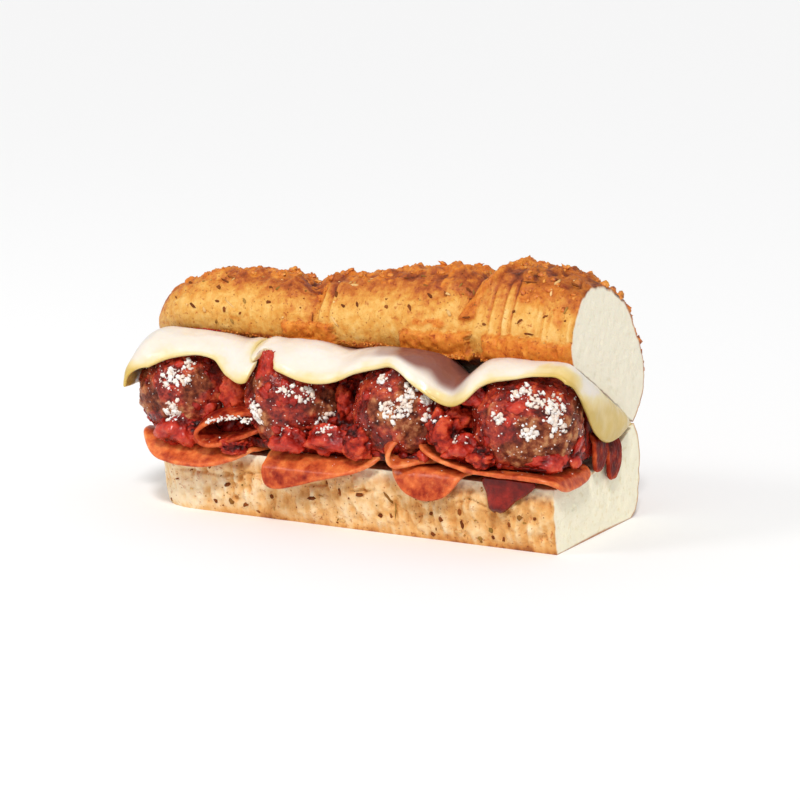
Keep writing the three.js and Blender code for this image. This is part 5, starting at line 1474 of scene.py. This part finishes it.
def herbs(material):
    """Leaf bits on both crusts: the ones that the eye picks out, then many smaller ones."""
    middles, frames, sizes, tints = [], [], [], []
    for skin, marks, grown in ((top_skin, HERBS_TOP, 1.1), (low_front_skin, HERBS_LOW, 1.45)):
        x, s, turn, length, tint = np.array(marks, float).T
        middle, out = skin_frame(skin, x, s)
        middles.append(middle)
        frames.append(frames_on(out, np.radians(turn)))
        thick = grown * mix(0.46, 0.3, ease(0.9, 1.8, length))
        sizes.append(np.stack([min(grown, 1.2) * length, thick, 0.7 * thick], -1))
        tints.append(tint)
    # Skin, count, ranges along the loaf and round the section, seed and half sizes
    sets = [
        (top_skin, 30, (-70, 74, 12, 50), 71, (0.9, 0.34, 0.25)),
        (top_skin, 90, (-70, 74, 48, 84), 75, (0.9, 0.34, 0.25)),
        (top_skin, 120, (-70, 74, 7, 84), 72, (0.34, 0.24, 0.16)),
        (low_front_skin, 24, (-58, 74, 1, 18), 73, (0.75, 0.32, 0.22)),
        (low_front_skin, 60, (-60, 74, 1, 18), 74, (0.32, 0.24, 0.16)),
    ]
    for skin, count, ranges, seed, size in sets:
        x, s, turn, grow = scattered(count, ranges, seed)
        middle, out = skin_frame(skin, x, s)
        middles.append(middle)
        frames.append(frames_on(out, turn))
        sizes.append(grow[:, None] * np.array(size))
        tints.append(picked(np.arange(count), 0.1, 1, seed, 6.0))
    arrays = [np.concatenate(values) for values in (middles, frames, sizes)]
    return many("herb_flakes", *arrays, "crust", material, 4, 6, 0.4, np.concatenate(tints))


def baked_bits(material):
    """Crumbs of browned cheese: in the baked patches, along the rim of the cut, on the lower edge."""
    # Count, ranges along the loaf and round the section, seed, half sizes and least patch mask
    sets = [
        (420, (-64, 75.2, 17, 84), 81, (1.2, 0.8, 0.4), 0.4),
        (700, (-66, 75.4, 15, 84), 82, (0.55, 0.42, 0.3), 0.4),
        (5, (73.6, 74.6, 30, 68), 31, (1.5, 1.3, 1.4), -1),
        (12, (73.2, 75, 48, 84), 35, (1.6, 1.3, 1.5), -1),
        (50, (73.8, 74.9, 44, 84), 83, (0.6, 0.5, 0.45), -1),
        (420, (-60, 76, 0.5, 1.8), 84, (0.34, 0.3, 0.26), -1),
    ]
    middles, frames, sizes = [], [], []
    for count, ranges, seed, size, above in sets:
        x, s, turn, grow = scattered(count, ranges, seed)
        keep = patch_mask(x, s) > above
        middle, out = skin_frame(top_skin, x[keep], s[keep])
        middles.append(middle)
        frames.append(frames_on(out, turn[keep]))
        sizes.append(grow[keep, None] * np.array(size))
    arrays = [np.concatenate(values) for values in (middles, frames, sizes)]
    return many("baked_cheese_bits", *arrays, "crust", material, 5, 7, 0.4)


def pulp_bits(material):
    """Small bits of cooked tomato: on the wet parts of the balls, over the front of the sauce, and
    under the left lower edge of the upper bread."""
    parts = []
    for index in range(len(BALL_X)):
        theta, phi, size = strewn_on_ball(46, (-0.75, 0.9), (-175, 30), 160.0 + index, (0.6, 2.0))
        keep = wetness(index, directions(theta, phi)) > 0.8
        theta, phi, size = theta[keep], phi[keep], size[keep]
        parts.append((ball_skin(index, theta, phi), directions(theta, phi), size))
    n = np.arange(240, dtype=float)
    roof, _ = sauce_skin(picked(n, -57, 76, 170.0, 1.0), picked(n, 0, 0.3, 170.0, 2.0, 1.4))
    forward = np.tile(unit(np.array([[0.0, -1.0, 0.6]])), (len(n), 1))
    parts.append((roof, forward, picked(n, 0.6, 2.3, 171.0, 3.0, 1.8)))
    x, s, _, grow = scattered(60, (-53, -41, 0.2, 1.8), 172.0)
    parts.append((*skin_frame(top_skin, x, s), 0.6 * grow))
    return lumps_on("tomato_pulp", parts, (0.8, 1.6), (0.3, 0.6), 175.0, "sauce", material, 6, 8, 0.42)


def gathered(theta, phi, size, seed, index):
    """Crumbs about a place on a ball: spread by sums of three random values over its size."""
    n = np.arange(int(12 + 12 * size), dtype=float)
    down, round_it = (sum(hashed(n, seed, kind + more) for more in range(3)) - 1.5 for kind in (1.0, 5.0))
    ring = BALL_R[0] * max(math.sin(math.radians(theta)), 0.3)
    theta = math.radians(theta) + 1.3 * size * down / BALL_R[0]
    phi = math.radians(phi) + 1.3 * size * round_it / ring
    out = directions(theta, phi)
    lift = 0.15 + 0.15 * size * hashed(n, seed, 12.0)
    return ball_skin(index, theta, phi) + out * lift[:, None], out, picked(n, 0.14, 0.78, seed, 9.0, 2.2)


def parmesan(material):
    """Grated cheese: clusters on the balls, flakes on some chunks and on a slice's rim, and single
    crumbs over balls and slices."""
    parts = []
    for index, clusters in enumerate(CRUMBS):
        parts += [gathered(*cluster, 90 + 10 * index + n, index) for n, cluster in enumerate(clusters)]
        theta, phi, size = strewn_on_ball(150, (-0.55, 0.8), (-150, 20), 130.0 + index, (0.09, 0.26))
        parts.append((ball_skin(index, theta, phi), directions(theta, phi), size))
    for index, count in CHUNK_CRUMBS:
        n = np.arange(count, dtype=float)
        theta = np.radians(picked(n, 15, 60, index, 181.0))
        phi = np.radians(picked(n, -150, -40, index, 182.0))
        size = picked(n, 0.16, 0.55, index, 183.0)
        parts.append((chunk_skin(index, theta, phi), directions(theta, phi), size))
    n = np.arange(60, dtype=float)
    rim = slice_point(1, picked(n, 0.2, 0.8, 184.0, 1.0), picked(n, -1, -0.85, 184.0, 2.0))
    parts.append((rim + [0, 0, 0.7], upward(len(n)), picked(n, 0.14, 0.5, 185.0, 3.0)))
    for index in range(len(PEPPERONI)):
        n = np.arange(30, dtype=float)
        a = picked(n, -0.9, 0.9, 140.0 + index, 1.0)
        b = picked(n, -0.95, 0.2, 140.0 + index, 2.0)
        keep = a * a + b * b < 0.9
        place = slice_point(index, a, b)[keep] + [0, 0, PEPPERONI_THICK / 2]
        parts.append((place, upward(len(place)), picked(n, 0.1, 0.25, 141.0 + index, 3.0)[keep]))
    return lumps_on("parmesan_crumbs", parts, (0.8, 1.7), (0.6, 1.0), 151.0, "cheese", material,
                    5, 6, 0.45)


# Stage
def place_camera():
    """Camera at its distance from the target, back along the azimuth and elevation."""
    a, e = math.radians(CAMERA_AZIMUTH), math.radians(CAMERA_ELEVATION)
    back = np.array([math.sin(a) * math.cos(e), -math.cos(a) * math.cos(e), math.sin(e)])
    data = bpy.data.cameras.new("camera")
    data.lens = CAMERA_LENS
    data.sensor_width = CAMERA_SENSOR
    data.clip_start, data.clip_end = 0.05, 30.0
    camera = bpy.data.objects.new("camera", data)
    bpy.context.scene.collection.objects.link(camera)
    camera.location = CAMERA_TARGET + back * CAMERA_DISTANCE
    camera.rotation_euler = (math.pi / 2 - e, 0.0, a)
    bpy.context.scene.camera = camera


def add_light(name, kind, towards, power, **settings):
    """Light of a kind that shines from a direction onto the middle of the scene."""
    data = bpy.data.lights.new(name, kind)
    data.energy = power
    for key, value in settings.items():
        setattr(data, key, value)
    light = bpy.data.objects.new(name, data)
    bpy.context.scene.collection.objects.link(light)
    x, y, z = towards
    light.location = towards
    light.rotation_euler = (math.atan2(math.hypot(x, y), z), 0.0, math.atan2(x, -y))


def studio():
    """Pale floor, even white sky, a wide sun and a small soft box for glints."""
    mesh = bpy.data.meshes.new("floor")
    reach = 8.0
    corners = [(-reach, -reach, 0), (reach, -reach, 0), (reach, reach, 0), (-reach, reach, 0)]
    mesh.from_pydata(corners, [], [(0, 1, 2, 3)])
    floor = bpy.data.objects.new("floor", mesh)
    bpy.context.scene.collection.objects.link(floor)
    material, _, principled, _ = new_material("pale_floor", {"Roughness": 0.8, "IOR": 1.2})
    principled.inputs["Base Color"].default_value = hex_colour("fafafa")
    mesh.materials.append(material)
    world = bpy.data.worlds.new("sky")
    world.use_nodes = True
    world.node_tree.nodes["Background"].inputs["Color"].default_value = (1.0, 1.0, 1.0, 1.0)
    world.node_tree.nodes["Background"].inputs["Strength"].default_value = 0.58
    bpy.context.scene.world = world
    bpy.context.scene.view_settings.view_transform = "Standard"
    add_light("wide_sun", "SUN", (0.3, -0.62, 0.72), 1.75, angle=math.radians(9))
    add_light("soft_box", "AREA", (-0.45, -0.6, 0.6), 1.6, size=0.25)


place_camera()
studio()
top_bread(bread_material("baked_top_crust", CRUST_STOPS, CRUMB_STOPS, 0.85))
bottom_bread(bread_material("pale_lower_crust", LOW_STOPS, LOW_CRUMB_STOPS, 0.5))
meat = meat_material()
for ball in range(len(BALL_X)):
    meatball(ball, meat)
melted = cheese_material()
cheese_slice("cheese_slice_1", "cheese_1", 130, first_start, first_end, FIRST_DRAPE, melted)
cheese_slice("cheese_slice_2", "cheese_2", 260, second_start, second_end, SECOND_DRAPE, melted)
cured = pepperoni_material()
for number in range(len(PEPPERONI)):
    pepperoni(number, cured)
wet_sauce = sauce_material("tomato_sauce", True)
sauce(wet_sauce)
drip(sauce_material("strained_tomato_sauce", False))
cooked = tomato_material()
chunks("tomato_pieces", True, cooked)
chunks("sauce_lumps", False, wet_sauce)
pulp_bits(cooked)
herbs(herb_material())
baked_bits(baked_bits_material())
parmesan(parmesan_material())
